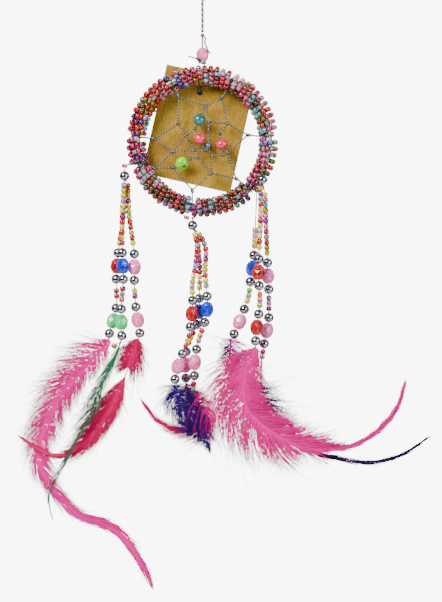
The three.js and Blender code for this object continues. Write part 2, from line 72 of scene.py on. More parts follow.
def node_centre(name):
    """The middle of a node's box, in millimetres."""
    low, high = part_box(name)
    return (np.array(low) + np.array(high)) / 2 / MM


def node_floor(name):
    """The middle of the bottom of a node's box, in millimetres."""
    low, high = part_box(name)
    return np.array([(low[0] + high[0]) / 2, (low[1] + high[1]) / 2, low[2]]) / MM


HOOP_CENTRE = node_centre("hoop_ring")

# ---------------------------------------------------------------- materials


def linear(colour):
    """An sRGB hex colour as linear RGBA."""
    channels = np.array([int(colour[i : i + 2], 16) for i in (1, 3, 5)]) / 255
    flat = np.where(channels <= 0.04045, channels / 12.92, ((channels + 0.055) / 1.055) ** 2.4)
    return (*(float(c) for c in flat), 1.0)


def put(node, inputs):
    """Sets a node's inputs by name or number: each is a value, or (node, output) to link from."""
    for key, value in inputs.items():
        if isinstance(value, tuple) and hasattr(value[0], "outputs"):
            node.id_data.links.new(value[0].outputs[value[1]], node.inputs[key])
        else:
            node.inputs[key].default_value = value


def add(tree, kind, inputs=None, stops=(), **settings):
    """Adds a node with its settings and inputs: stops are a colour ramp's (place, hex colour) pairs."""
    node = tree.nodes.new(kind)
    for key, value in settings.items():
        setattr(node, key, value)
    for missing in range(len(stops) - 2):
        node.color_ramp.elements.new(0.5)
    for stop, (place, colour) in enumerate(stops):
        node.color_ramp.elements[stop].position = place
        node.color_ramp.elements[stop].color = linear(colour)
    put(node, inputs or {})
    return node


def new_finish(name):
    """A new material, with its node tree and its shader."""
    material = bpy.data.materials.new(name)
    material.use_nodes = True
    return material, material.node_tree, material.node_tree.nodes["Principled BSDF"]


def seed_glass():
    """Silver-lined glass seed beads: coloured glass over a bright bore, so they glint from inside."""
    material, tree, shader = new_finish("silver_lined_seed_glass")
    colour = add(tree, "ShaderNodeAttribute", attribute_name="bead_colour")
    place = add(tree, "ShaderNodeTexCoord")
    # Streaks of glass about 0.6 mm wide: coarser than real ones, so that they show.
    streaks = add(tree, "ShaderNodeTexNoise", {"Vector": (place, "Object"), "Scale": 900.0, "Detail": 2.0})
    shade = add(tree, "ShaderNodeValToRGB", {0: (streaks, "Fac")}, [(0.35, "#8c8c8c"), (0.62, "#ffffff")])
    mixed = add(tree, "ShaderNodeMix", {0: 1.0, 6: (colour, "Color"), 7: (shade, "Color")},
                data_type="RGBA", blend_type="MULTIPLY")
    put(shader, {"Base Color": (mixed, 2), "Roughness": 0.16, "IOR": 1.52, "Metallic": 0.18,
                 "Coat Weight": 0.45, "Coat Roughness": 0.04})
    return material


def silver_plate():
    """Silver plating on a smooth round bead: a mirror with a slightly smoky tint and fine handling marks."""
    material, tree, shader = new_finish("silver_plated_bead")
    place = add(tree, "ShaderNodeTexCoord")
    marks = add(tree, "ShaderNodeTexNoise", {"Vector": (place, "Object"), "Scale": 700.0, "Detail": 4.0})
    rough = add(tree, "ShaderNodeMapRange", {"Value": (marks, "Fac"), "To Min": 0.03, "To Max": 0.12})
    tint = add(tree, "ShaderNodeValToRGB", {0: (marks, "Fac")}, [(0.3, "#84868e"), (0.6, "#b4b6bc")])
    put(shader, {"Base Color": (tint, "Color"), "Roughness": (rough, "Result"), "Metallic": 1.0})
    return material


def acrylic_with_cracks_and_sparkle(name, deep, bright, crack_sparkle_colour, crack_sparkle_share, clear):
    """Acrylic under a polished clear surface: deep colour with bright lines in a cell pattern, which are
    partly real crack lines inside and partly painted sparkle.
    """
    material, tree, shader = new_finish(name)
    place = add(tree, "ShaderNodeTexCoord")
    # The crack lines, partly painted sparkle, run 0.8 to 1.5 mm apart.
    crack_sparkle_cells = add(tree, "ShaderNodeTexVoronoi", {"Vector": (place, "Object"), "Scale": 900.0},
                 feature="DISTANCE_TO_EDGE")
    clouds = add(tree, "ShaderNodeTexNoise", {"Vector": (place, "Object"), "Scale": 420.0, "Detail": 3.0})
    body = add(tree, "ShaderNodeValToRGB", {0: (clouds, "Fac")}, [(0.38, deep), (0.62, bright)])
    # The bright lines are partly real crack lines and partly painted sparkle: glints of light put into the
    # colour.
    line = add(tree, "ShaderNodeValToRGB", {0: (crack_sparkle_cells, "Distance")}, [(0.0, "#ffffff"), (0.09, "#000000")])
    crack_sparkle_mask = add(tree, "ShaderNodeMath", {0: (line, "Color"), 1: crack_sparkle_share}, operation="MULTIPLY")
    mixed = add(tree, "ShaderNodeMix", {0: (crack_sparkle_mask, "Value"), 6: (body, "Color"), 7: linear(crack_sparkle_colour)},
                data_type="RGBA")
    relief = add(tree, "ShaderNodeBump",
                 {"Height": (crack_sparkle_cells, "Distance"), "Strength": 0.25, "Distance": 0.0002})
    put(shader, {"Base Color": (mixed, 2), "Normal": (relief, "Normal"), "Roughness": 0.08, "IOR": 1.49,
                 "Transmission Weight": clear, "Coat Weight": 0.6, "Coat Roughness": 0.03})
    return material


def twisted_thread(name, dark, light, metal):
    """Thread of two plies, one of them metallic: the plies cross the thread as slanted stripes."""
    material, tree, shader = new_finish(name)
    uv = add(tree, "ShaderNodeUVMap", uv_map="thread")
    split = add(tree, "ShaderNodeSeparateXYZ", {0: (uv, "UV")})
    slant = add(tree, "ShaderNodeMath", {0: (split, "Y"), 1: (split, "X")}, operation="ADD")
    angle = add(tree, "ShaderNodeMath", {0: (slant, "Value"), 1: 2 * math.pi}, operation="MULTIPLY")
    wave = add(tree, "ShaderNodeMath", {0: (angle, "Value")}, operation="SINE")
    share = add(tree, "ShaderNodeMapRange", {"Value": (wave, "Value"), "From Min": -1.0, "From Max": 1.0})
    colour = add(tree, "ShaderNodeValToRGB", {0: (share, "Result")}, [(0.3, dark), (0.55, light)])
    shine = add(tree, "ShaderNodeMapRange", {"Value": (share, "Result"), "To Max": metal})
    relief = add(tree, "ShaderNodeBump", {"Height": (share, "Result"), "Strength": 0.8, "Distance": 0.00015})
    put(shader, {"Base Color": (colour, "Color"), "Metallic": (shine, "Result"), "Normal": (relief, "Normal"),
                 "Roughness": 0.34})
    return material


def kraft_board():
    """Brown kraft board: pressed fibres in a warm brown, matt, with cloudy darker patches."""
    material, tree, shader = new_finish("kraft_board")
    place = add(tree, "ShaderNodeTexCoord")
    stretch = add(tree, "ShaderNodeMapping", {"Vector": (place, "Object"), "Scale": (1.0, 1.0, 0.35)})
    fibres = add(tree, "ShaderNodeTexNoise",
                 {"Vector": (stretch, "Vector"), "Scale": 1600.0, "Detail": 6.0, "Roughness": 0.7})
    clouds = add(tree, "ShaderNodeTexNoise", {"Vector": (place, "Object"), "Scale": 60.0, "Detail": 3.0})
    grain = add(tree, "ShaderNodeValToRGB", {0: (fibres, "Fac")},
                [(0.3, "#765800"), (0.5, "#987604"), (0.72, "#b89210")])
    cast = add(tree, "ShaderNodeValToRGB", {0: (clouds, "Fac")}, [(0.3, "#d8c6a8"), (0.7, "#ffffff")])
    mixed = add(tree, "ShaderNodeMix", {0: 0.7, 6: (grain, "Color"), 7: (cast, "Color")},
                data_type="RGBA", blend_type="MULTIPLY")
    relief = add(tree, "ShaderNodeBump", {"Height": (fibres, "Fac"), "Strength": 0.35, "Distance": 0.0001})
    put(shader, {"Base Color": (mixed, 2), "Normal": (relief, "Normal"), "Roughness": 0.82})
    return material


def dyed_feather(name, dark, bright, painted_glow=0.0):
    """Dyed barbs: each has its own depth of dye, light comes through, and a painted emission in the bright
    dye colour lights them a little from within.
    """
    material, tree, shader = new_finish(name)
    depth = add(tree, "ShaderNodeAttribute", attribute_name="dye")
    colour = add(tree, "ShaderNodeValToRGB", {0: (depth, "Fac")}, [(0.0, dark), (1.0, bright)])
    # The emission is painted light: the barbs give off a little light of their own in the bright dye colour,
    # so they stay saturated in shade.
    put(shader, {"Base Color": (colour, "Color"), "Roughness": 0.62, "Specular IOR Level": 0.12,
                 "Sheen Weight": 0.04, "Sheen Tint": linear(bright),
                 "Emission Strength": painted_glow, "Emission Color": linear(bright)})
    let_through = add(tree, "ShaderNodeBsdfTranslucent", {"Color": (colour, "Color")})
    blend = add(tree, "ShaderNodeMixShader", {0: 0.35, 1: (shader, "BSDF"), 2: (let_through, "BSDF")})
    put(tree.nodes["Material Output"], {"Surface": (blend, 0)})
    return material


def plain_steel():
    """Drawn steel wire, dull, with fine marks: it shows only between the beads."""
    material, tree, shader = new_finish("drawn_steel_wire")
    place = add(tree, "ShaderNodeTexCoord")
    marks = add(tree, "ShaderNodeTexNoise", {"Vector": (place, "Object"), "Scale": 500.0, "Detail": 3.0})
    tint = add(tree, "ShaderNodeValToRGB", {0: (marks, "Fac")}, [(0.35, "#8a867c"), (0.65, "#bdb9ae")])
    put(shader, {"Base Color": (tint, "Color"), "Metallic": 1.0, "Roughness": 0.38})
    return material


FINISH = {
    "seed": seed_glass(),
    "silver": silver_plate(),
    # Each acrylic's last three values: the colour and share of its bright lines, partly crack lines and
    # partly painted sparkle, then how clear it is.
    "pink": acrylic_with_cracks_and_sparkle("pink_crackle_acrylic", "#ff3ca0", "#ff80cc", "#ffffff", 0.35, 0.2),
    "coral": acrylic_with_cracks_and_sparkle("coral_crackle_acrylic", "#a80028", "#e80040", "#ff90a0", 0.5, 0.1),
    "red": acrylic_with_cracks_and_sparkle("red_acrylic", "#7c0004", "#c00010", "#f02020", 0.15, 0.05),
    "blue": acrylic_with_cracks_and_sparkle("blue_acrylic", "#001084", "#0030dc", "#3070f0", 0.25, 0.05),
    "green": acrylic_with_cracks_and_sparkle("green_acrylic", "#00a850", "#10f084", "#a0ffcc", 0.35, 0.15),
    "teal": acrylic_with_cracks_and_sparkle("teal_crackle_acrylic", "#043c38", "#1c6c60", "#5cc0b0", 0.5, 0.05),
    "lime": acrylic_with_cracks_and_sparkle("lime_plastic", "#5cbc00", "#8ce400", "#c0ff40", 0.06, 0.0),
    "cord": twisted_thread("black_and_silver_cord", "#0e0e12", "#8c9098", 0.8),
    "string": twisted_thread("dark_waxed_string", "#060608", "#1c1a1e", 0.0),
    "thread": twisted_thread("silver_web_thread", "#100e0a", "#7c786e", 0.75),
    "card": kraft_board(),
    "wire": plain_steel(),
    # The last number of a feather is the strength of its painted emission, light that it gives off of its
    # own.
    "hot_pink": dyed_feather("hot_pink_marabou", "#d80084", "#ff00b0", 0.08),
    "rose": dyed_feather("rose_feather", "#b0004c", "#fa0078", 0.03),
    "violet": dyed_feather("violet_feather", "#180040", "#4c0a98"),
    "navy": dyed_feather("navy_feather", "#0a0616", "#4c1484"),
    "olive": dyed_feather("olive_feather", "#5c4e48", "#0a8450"),
}

# ---------------------------------------------------------------- surfaces


def grid_faces(rows, columns, close_rows=False, close_columns=False):
    """The quads of a rows by columns grid of points, joined round where asked."""
    row = np.arange(rows if close_rows else rows - 1)
    column = np.arange(columns if close_columns else columns - 1)
    i, j = (part.ravel() for part in np.meshgrid(row, column, indexing="ij"))
    here, above = i * columns, (i + 1) % rows * columns
    next_j = (j + 1) % columns
    return np.stack([here + j, here + next_j, above + next_j, above + j], 1)


def place_object(name, data):
    """A new object with this mesh, lamp or camera, in the scene."""
    thing = bpy.data.objects.new(name, data)
    bpy.context.collection.objects.link(thing)
    return thing


def weld(mesh):
    """Joins the points that lie on each other, which closes a tube's seam and its two ends."""
    work = bmesh.new()
    work.from_mesh(mesh)
    bmesh.ops.remove_doubles(work, verts=work.verts, dist=1e-7)
    work.to_mesh(mesh)
    work.free()


def make_piece(name, shape, finish, body, stands_for=(), smooth=True, uv=None, colour=None, dye=None):
    """One mesh from (points in millimetres, equal-sided faces), riding on a body."""
    points, faces = np.asarray(shape[0], float), np.asarray(shape[1], int)
    mesh = bpy.data.meshes.new(name)
    mesh.vertices.add(len(points))
    mesh.vertices.foreach_set("co", (points * MM).ravel())
    mesh.loops.add(faces.size)
    mesh.loops.foreach_set("vertex_index", faces.ravel())
    mesh.polygons.add(len(faces))
    mesh.polygons.foreach_set("loop_start", np.arange(len(faces)) * faces.shape[1])
    mesh.polygons.foreach_set("use_smooth", np.full(len(faces), smooth))
    if uv is not None:
        layer = mesh.uv_layers.new(name="thread")
        layer.data.foreach_set("uv", np.asarray(uv, float)[faces.ravel()].ravel())
    if colour is not None:
        mesh.color_attributes.new("bead_colour", "FLOAT_COLOR", "POINT")
        mesh.color_attributes["bead_colour"].data.foreach_set("color", np.asarray(colour, float).ravel())
    if dye is not None:
        mesh.attributes.new("dye", "FLOAT", "POINT")
        mesh.attributes["dye"].data.foreach_set("value", np.asarray(dye, float))
    mesh.update(calc_edges=True)
    if uv is not None:
        weld(mesh)
    mesh.materials.append(FINISH[finish])
    piece = place_object(name, mesh)
    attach(piece, body)
    if stands_for:
        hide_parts(*stands_for)
    return piece


def merge(parts):
    """Joins (points, faces) pairs into one pair."""
    starts = np.cumsum([0] + [len(points) for points, _ in parts[:-1]])
    return (np.concatenate([points for points, _ in parts]),
            np.concatenate([faces + start for (_, faces), start in zip(parts, starts)]))


def unit(vectors):
    """Vectors scaled to length 1."""
    return vectors / np.maximum(np.linalg.norm(vectors, axis=-1, keepdims=True), 1e-12)


def frames_for(axes, side=(0.0, 1.0, 0.0)):
    """For each axis, a right-handed frame (x, y, axis) whose x is square to the side vector."""
    z = unit(np.asarray(axes, float))
    x = np.cross(np.broadcast_to(side, z.shape), z)
    weak = np.linalg.norm(x, axis=-1) < 1e-3
    x[weak] = np.cross((1.0, 0.0, 0.0), z[weak])
    x = unit(x)
    return np.stack([x, np.cross(z, x), z], -1)


def stamp(shape, centres, axes, spin=None, scale=None):
    """Copies a shape that stands along Z to each centre, with its Z along each axis."""
    points, faces = shape
    bases = frames_for(axes)
    local = np.broadcast_to(points, (len(centres), *points.shape)).copy()
    if scale is not None:
        local *= np.asarray(scale)[:, None, :]
    if spin is not None:
        c, s = np.cos(spin)[:, None], np.sin(spin)[:, None]
        x, y = local[..., 0].copy(), local[..., 1].copy()
        local[..., 0], local[..., 1] = c * x - s * y, s * x + c * y
    placed = np.einsum("nij,nkj->nki", bases, local) + np.asarray(centres)[:, None, :]
    every = faces[None] + (np.arange(len(centres)) * len(points))[:, None, None]
    return placed.reshape(-1, 3), every.reshape(-1, faces.shape[1])


def lathe(radii, heights, sides):
    """A profile turned about Z: each (radius, height) becomes a circle, and the profile closes on itself."""
    turn = np.arange(sides) * 2 * np.pi / sides
    r, z = np.asarray(radii, float)[:, None], np.asarray(heights, float)[:, None]
    points = np.stack([r * np.cos(turn), r * np.sin(turn), z + 0 * turn], -1).reshape(-1, 3)
    return points, grid_faces(len(radii), sides, True, True)


def ring_bead(radius, hole, length, sides, section):
    """A seed bead: a rounded oblong, from the bore to the rim, turned about the bore."""
    turn = np.arange(section) * 2 * np.pi / section
    wave = np.stack([np.cos(turn), np.sin(turn)])
    across, along = np.sign(wave) * np.abs(wave) ** 0.75
    return lathe((radius + hole) / 2 + (radius - hole) / 2 * across, length / 2 * along, sides)


def round_bead(radius, hole, length, sides, rows):
    """A drilled ball, slightly short along its bore: the ball's arc, then straight back through the bore."""
    lowest = math.asin(min(0.98, math.sqrt(1 - (hole / radius) ** 2)))
    arc = np.linspace(-lowest, lowest, rows)
    outside = radius * np.cos(arc)
    heights = np.sin(arc) / math.sin(lowest) * length / 2
    inside = np.array([hole * 0.9, hole * 0.9])
    return lathe(np.r_[outside, inside], np.r_[heights, heights[-1] * 0.9, heights[0] * 0.9], sides)


def cut_bead(radius, hole, length, sides, bands):
    """A faceted bead: rings of corners on a barrel, each ring turned half a facet from the last."""
    share = np.linspace(-1, 1, bands)
    barrel = radius * (1 - np.abs(share) ** 2.6 * 0.52)
    r = np.r_[barrel, hole, hole]
    z = np.r_[share * length / 2, length / 2 * 0.92, -length / 2 * 0.92]
    half_turn = np.r_[np.arange(bands) % 2, (bands - 1) % 2, 0] * np.pi / sides
    turn = np.arange(sides) * 2 * np.pi / sides
    angle = turn[None, :] + half_turn[:, None]
    points = np.stack([r[:, None] * np.cos(angle), r[:, None] * np.sin(angle), z[:, None] + 0 * angle], -1)
    quads = grid_faces(len(r), sides, True, True)
    forward = np.repeat(np.r_[np.arange(bands) % 2, (bands - 1) % 2, 0] == 0, sides)
    first = np.where(forward[:, None], quads[:, [0, 1, 3]], quads[:, [0, 1, 2]])
    second = np.where(forward[:, None], quads[:, [1, 2, 3]], quads[:, [0, 2, 3]])
    return points.reshape(-1, 3), np.concatenate([first, second])


def lengths_along(path):
    """How far along a path each of its points lies."""
    return np.r_[0, np.cumsum(np.linalg.norm(np.diff(path, axis=0), axis=1))]


def points_at(path, wanted):
    """The points at the wanted distances along a path."""
    along = lengths_along(path)
    return np.stack([np.interp(wanted, along, path[:, k]) for k in range(3)], 1)


def eased(path, passes):
    """A path with its corners eased, by averaging each point with its neighbours in each pass."""
    for _ in range(passes):
        path[1:-1] = (path[:-2] + 2 * path[1:-1] + path[2:]) / 4
    return path


def smooth_path(points, step):
    """A Catmull-Rom curve through points, sampled about every step, and even in length."""
    p = np.asarray(points, float)
    ends = np.concatenate([[2 * p[0] - p[1]], p, [2 * p[-1] - p[-2]]])
    t = np.linspace(0, 1, 17)[:-1, None]
    spans = [
        0.5 * ((2 * b) + (c - a) * t + (2 * a - 5 * b + 4 * c - d) * t**2 + (3 * b - a - 3 * c + d) * t**3)
        for a, b, c, d in zip(ends, ends[1:], ends[2:], ends[3:])
    ]
    curve = np.concatenate([*spans, p[-1:]])
    total = lengths_along(curve)[-1]
    return points_at(curve, np.linspace(0, total, max(2, int(round(total / step)) + 1)))


def tangents(path):
    """The unit direction at each point of a path."""
    return unit(np.gradient(path, axis=0))


def tube(path, radius, sides=8):
    """A round tube on a path, closed at both ends: returns points, faces and its (around, along) UVs.

    Each ring is turned as little as the path allows from the one before, so stripes don't jump.
    """
    path = np.asarray(path, float)
    direction = tangents(path)
    normal = frames_for(direction[:1])[0, :, 0]
    normals = []
    for d in direction:
        normal = unit(normal - d * (normal @ d))
        normals.append(normal)
    normals = np.array(normals)
    across = np.cross(direction, normals)
    turn = np.arange(sides + 1) * 2 * np.pi / sides
    radii = np.broadcast_to(radius, len(path))[:, None, None]
    ring = normals[:, None] * np.cos(turn)[:, None] + across[:, None] * np.sin(turn)[:, None]
    rings = path[:, None] + radii * ring
    caps = np.repeat(path[[0, -1], None], sides + 1, 1)
    closed = np.concatenate([caps[:1], rings, caps[1:]])
    along = lengths_along(path)
    along = np.r_[along[0], along, along[-1]]
    uv = np.stack(np.broadcast_arrays(turn / (2 * np.pi), along[:, None] / (4 * np.mean(radius))), -1)
    return closed.reshape(-1, 3), grid_faces(len(closed), sides + 1), uv.reshape(-1, 2)


def thread_piece(name, paths, radius, finish, body, stands_for=(), sides=7):
    """One piece made of tubes, with the stripes of the thread running on along each."""
    tubes = [tube(path, radius, sides) for path in paths]
    shape = merge([(points, faces) for points, faces, _ in tubes])
    uv = np.concatenate([around_along for _, _, around_along in tubes])
    return make_piece(name, shape, finish, body, stands_for, uv=uv)


def loop_round(centre, axis, radius, turns=1.0, pitch=0.0):
    """A helix of thread round an axis: a circle when the pitch is 0."""
    base = frames_for(np.array([axis]))[0]
    angle = np.linspace(0, turns * 2 * np.pi, int(18 * turns) + 1)
    rise = pitch * angle / (2 * np.pi)
    local = np.stack([radius * np.cos(angle), radius * np.sin(angle), rise - pitch * turns / 2], -1)
    return local @ base.T + centre


# ---------------------------------------------------------------- camera and hanging cord

CAMERA_AT = (7.4, -568.0, -140.4)
CORD_ROUTE = [
    (0, 0, -33.0), (0, 0, -25.85), (0, 0, -17.6), (0.8, 0, -15.18), (2.88, 0, -10.73), (3.45, 0, -5.61),
    (2.56, 0, -1.65), (0, 0, -0.55), (-2.56, 0, -1.65), (-3.45, 0, -5.61), (-2.88, 0, -10.73),
    (-1.4, 0, -15.4),
]


def add_camera():
    """A long lens, level, straight in front of the object."""
    lens = bpy.data.cameras.new("camera")
    lens.lens = 85
    lens.sensor_width = 36
    camera = place_object("camera", lens)
    camera.location = [value * MM for value in CAMERA_AT]
    camera.rotation_euler = (math.pi / 2, 0, 0)
    bpy.context.scene.camera = camera


def knot_paths(centre, size, turns=3):
    """An overhand knot pulled tight, as a few loops of thread leaning different ways about one point."""
    leans = np.arange(turns) * np.pi / turns
    axes = np.stack([np.sin(leans), 0.45 * np.cos(2 * leans), np.cos(leans) + 0.2], 1)
    return [loop_round(np.asarray(centre, float), axis, size / 2, 1.0) for axis in axes]


def add_hanging_cord():
    """The twisted cord from the knot up into its loop, and the loop's own knot of three tight turns."""
    path = smooth_path(CORD_ROUTE, 0.8)
    cord = thread_piece("hanging_cord_twist", [path], CORD_DIAMETER / 2, "cord", "hanger_cord",
                        ["hanging_cord"], sides=12)
    at = node_centre("loop_knot")
    winding = loop_round(at, (0.12, 0.1, 1.0), 1.18, 3.0, 0.78)
    knot = thread_piece("loop_knot_turns", [winding, *knot_paths(at - (0, 0, 0.2), 1.6)], 0.5, "cord",
                        "hanger_cord", ["loop_knot"], sides=10)


add_camera()
add_hanging_cord()

# ---------------------------------------------------------------- hanger, above the hoop


def from_hoop(*points):
    """Points given from the middle of the hoop, in the object's own frame."""
    return np.array(points, float) + HOOP_CENTRE


def add_hanger():
    """The knot at the foot of the cord, its cut end, and the faceted bead that the thread runs through."""
    knot = from_hoop((0, 0, 42.4))[0]
    tie_top = from_hoop((0, 0, RING_RADIUS + TIE_RADIUS + 0.65))[0]
    cut_end = from_hoop((0.2, -0.5, 42.2), (1.2, -1.2, 40.9), (0.9, -1.7, 39.2), (1.5, -2.2, 37.6),
                        (2.4, -2.1, 35.6), (3.1, -1.7, 34.7))
    lead = np.array([knot, (knot + tie_top) / 2, tie_top])
    thread_piece("hanger_knot_thread", [lead, smooth_path(cut_end, 0.4), *knot_paths(knot, 1.15)],
                 STRING_RADIUS, "cord", "hanger", ["hanger_knot"])
    bead = cut_bead(radius=2.55, hole=0.62, length=5.5, sides=9, bands=6)
    make_piece("hanger_bead_cut", stamp(bead, [node_centre("hanger_bead")], [(0, 0, 1)]), "pink", "hanger",
               ["hanger_bead"], smooth=False)


add_hanger()

# ---------------------------------------------------------------- hoop and its winding of seed beads

HITCHES = [-158, -99.7, -45.7, 4.5, 64.4, 117.8, 176.2]
BEADS_PER_TURN = 11.4
WINDING_RADIUS = 2.95
WINDING_PITCH = 2.3
# The seed colours change round the hoop: (angle from +X towards +Z, colours there).
PALETTES = [
    (180, "#8a2a8c #c03a90 #a8407c #a8b8d0"), (160, "#8a2a8c #d83a20 #a08020"),
    (148, "#d83a20 #a08020 #b8a8b0"), (125, "#c81818 #d83a40 #b06060"), (110, "#6a4a9a #8aa0c8 #c04070"),
    (95, "#c02030 #d86080 #80b0a8 #a08a30"), (80, "#e06080 #a8c0c8 #d0405a"),
    (60, "#90803a #802030 #d8b0b8"), (45, "#d02858 #e070a0 #8aa8a0"), (30, "#88a8a0 #e03020 #705048"),
    (10, "#d84020 #90b8b0 #90803a #e07090"), (-5, "#8080c0 #e080a8 #90b8b0"),
    (-15, "#4a8a2a #b89aa0 #d84060"), (-30, "#c83070 #e878a0 #d02040"), (-50, "#8a3030 #7a4a80 #705030"),
    (-65, "#88a8a0 #d02050 #90803a"), (-80, "#c03030 #904020 #70a8a8"),
    (-100, "#c04080 #904a90 #90a8c0 #e080a8"), (-120, "#705030 #d02020 #a898b8"),
    (-145, "#d03060 #7a6a30 #c0b0c0 #e070a0"), (-165, "#c02050 #7a2a7a #e0507a"),
]


def ring_point(angle, out, back=0.0):
    """A point near the hoop's wire: its angle in degrees, then how far out from the wire and how far back."""
    turn = np.radians(angle)
    reach = RING_RADIUS + np.asarray(out)
    return np.stack(np.broadcast_arrays(reach * np.cos(turn), back, reach * np.sin(turn)), -1) + HOOP_CENTRE


def ring_tangent(angle):
    """The direction of the hoop's wire at an angle in degrees."""
    return -math.sin(math.radians(angle)), 0, math.cos(math.radians(angle))


def winding_colours(angles, rng):
    """Each bead's colour: short runs of one colour, picked from the palette nearest its place on the hoop."""
    keys = np.radians([key for key, _ in PALETTES])
    away = np.radians(angles)[:, None] - keys + rng.normal(0, 0.12, (len(angles), 1))
    nearest = np.argmax(np.cos(away), 1)
    run = np.cumsum(rng.random(len(angles)) < 0.72)
    pick = rng.random(run[-1] + 1)[run]
    # The power deepens the glass: the weaker channels fall more than the strong one.
    chosen = [[np.array(linear(c)) ** 1.3 for c in colours.split()] for _, colours in PALETTES]
    return np.array([chosen[n][int(p * len(chosen[n]))] for n, p in zip(nearest, pick)])


def bead_colours(colours, shape):
    """One colour for each bead, spread over its points."""
    return np.repeat(colours, len(shape[0]), axis=0)


def lone_seed(size):
    """A seed bead seen by itself, finer than those of the winding: size is 1 for a usual one."""
    return ring_bead(SEED_RADIUS * size, SEED_HOLE, SEED_LENGTH, 14, 8)


def add_seed(name, shape, at, axis, colour, body="hoop"):
    """One seed bead by itself."""
    make_piece(name, stamp(shape, [at], [axis]), "seed", body,
               colour=bead_colours([linear(colour)], shape))


def add_winding(number, start, end):
    """Seed beads strung on one thread that winds round the wire: a helix with the wire as its axis."""
    rng = np.random.default_rng(40 + number)
    margin = math.degrees(SEED_RADIUS * 0.85 / RING_RADIUS)
    start, end = start + margin, end - margin
    turns = round(math.radians(end - start) * RING_RADIUS / WINDING_PITCH)
    count = int(turns * BEADS_PER_TURN)
    share = (np.arange(count) + 0.5) / count
    around = share * turns * 2 * np.pi + rng.uniform(0, 6) + rng.normal(0, 0.05, count)
    angle = start + (end - start) * share
    radius = WINDING_RADIUS + rng.normal(0, 0.13, count)
    centres = ring_point(angle, radius * np.cos(around), radius * np.sin(around))
    outward = np.stack([np.cos(np.radians(angle)), 0 * angle, np.sin(np.radians(angle))], -1)
    axes = np.cos(around)[:, None] * np.array([0.0, 1.0, 0.0]) - np.sin(around)[:, None] * outward
    axes = unit(axes + rng.normal(0, 0.16, axes.shape))
    shape = ring_bead(SEED_RADIUS, SEED_HOLE, SEED_LENGTH, 10, 6)
    beads = stamp(shape, centres, axes, scale=rng.normal(1.0, 0.045, (count, 3)))
    make_piece(f"hoop_seed_winding_{number}", beads, "seed", "hoop", [f"hoop_beads_{number}"],
               colour=bead_colours(winding_colours(angle, rng), shape))


def add_hoop_wire():
    """The bent wire ring: a round section turned about the hoop's own axis."""
    turn = np.arange(14) * 2 * np.pi / 14
    points, faces = lathe(RING_RADIUS + WIRE_RADIUS * np.cos(turn), WIRE_RADIUS * np.sin(turn), 120)
    points = np.stack([points[:, 0], -points[:, 2], points[:, 1]], 1) + HOOP_CENTRE
    make_piece("hoop_wire_ring", (points, faces), "wire", "hoop", ["hoop_ring"])


add_hoop_wire()
for number, (start, end) in enumerate(zip(HITCHES, [*HITCHES[1:], HITCHES[0] + 360]), 1):
    add_winding(number, start, end)

# ---------------------------------------------------------------- web


HITCH_RADIUS = 2.1
WEB_BEAD_BESIDE = 3.35


def web(x, z):
    """A point of the web, in the opening as radius 1."""
    return np.array([x, 0.0, z]) * OPENING_RADIUS + HOOP_CENTRE


def beside(bead, angle, extra):
    """The point beside a web bead where a thread passes it, extra further out than one that lies close."""
    reach = WEB_BEAD_BESIDE + extra
    return bead + reach * np.array([math.cos(math.radians(angle)), 0, math.sin(math.radians(angle))])


def through(start, bead, share):
    """The point beyond a bead, on the line through its middle."""
    return bead + (bead - start) * share


TEAL, PINK, PINK_RIGHT, LIME = web(-0.053, 0.381), web(-0.049, 0.044), web(0.338, -0.049), web(-0.364, -0.387)
NECKS = [web(-0.842, -0.474), web(-0.181, -0.868), web(0.594, -0.66), web(0.806, 0.111), web(0.337, 0.763),
         web(-0.412, 0.788), web(-0.842, 0.049)]
VALLEYS = [web(-0.515, -0.466), web(0.146, -0.563), web(0.456, -0.186), web(0.439, 0.319), web(0.053, 0.62),
           web(-0.429, 0.31), web(-0.528, -0.191)]


def web_runs():
    """The inner threads of the web, each as the points where it bends."""
    teal_foot, crossing, low_crossing = web(-0.124, 0.221), web(0.089, -0.125), web(0.181, -0.253)
    right_top, left_middle, inner_left = web(0.31, 0.137), web(-0.288, 0.115), web(-0.234, 0.0)
    inner_low, inner_foot = web(-0.119, -0.156), web(-0.071, -0.292)
    pass_teal, pass_between = beside(TEAL, -12, 0.5), beside(PINK, 42, 1.2)
    under_pink = through(teal_foot, PINK, 1.15)
    right_foot = through(right_top, PINK_RIGHT, 1.03)
    return [
        [VALLEYS[5], left_middle, VALLEYS[6]],
        [left_middle, teal_foot, VALLEYS[4]],
        [VALLEYS[4], pass_teal, pass_between, beside(PINK, -8, 0.2), crossing],
        [pass_teal, VALLEYS[3], right_top, right_foot],
        [VALLEYS[6], inner_low, under_pink, crossing, low_crossing, right_foot, VALLEYS[2]],
        [teal_foot, under_pink],
        [inner_left, inner_low, inner_foot, through(VALLEYS[0], LIME, 1.0), VALLEYS[0]],
        [left_middle, inner_left],
        [inner_foot, VALLEYS[1], low_crossing],
    ]


def pulled(points, step=0.7):
    """A thread pulled straight from point to point, with its corners eased a little."""
    path = np.asarray(points, float)
    total = lengths_along(path)[-1]
    return eased(points_at(path, np.linspace(0, total, max(3, int(total / step) + 1))), 2)


def wraps_at(point, direction, turns=2.2):
    """The small wraps where a thread is looped round another one."""
    return loop_round(point, direction, 0.5, turns, 0.62)


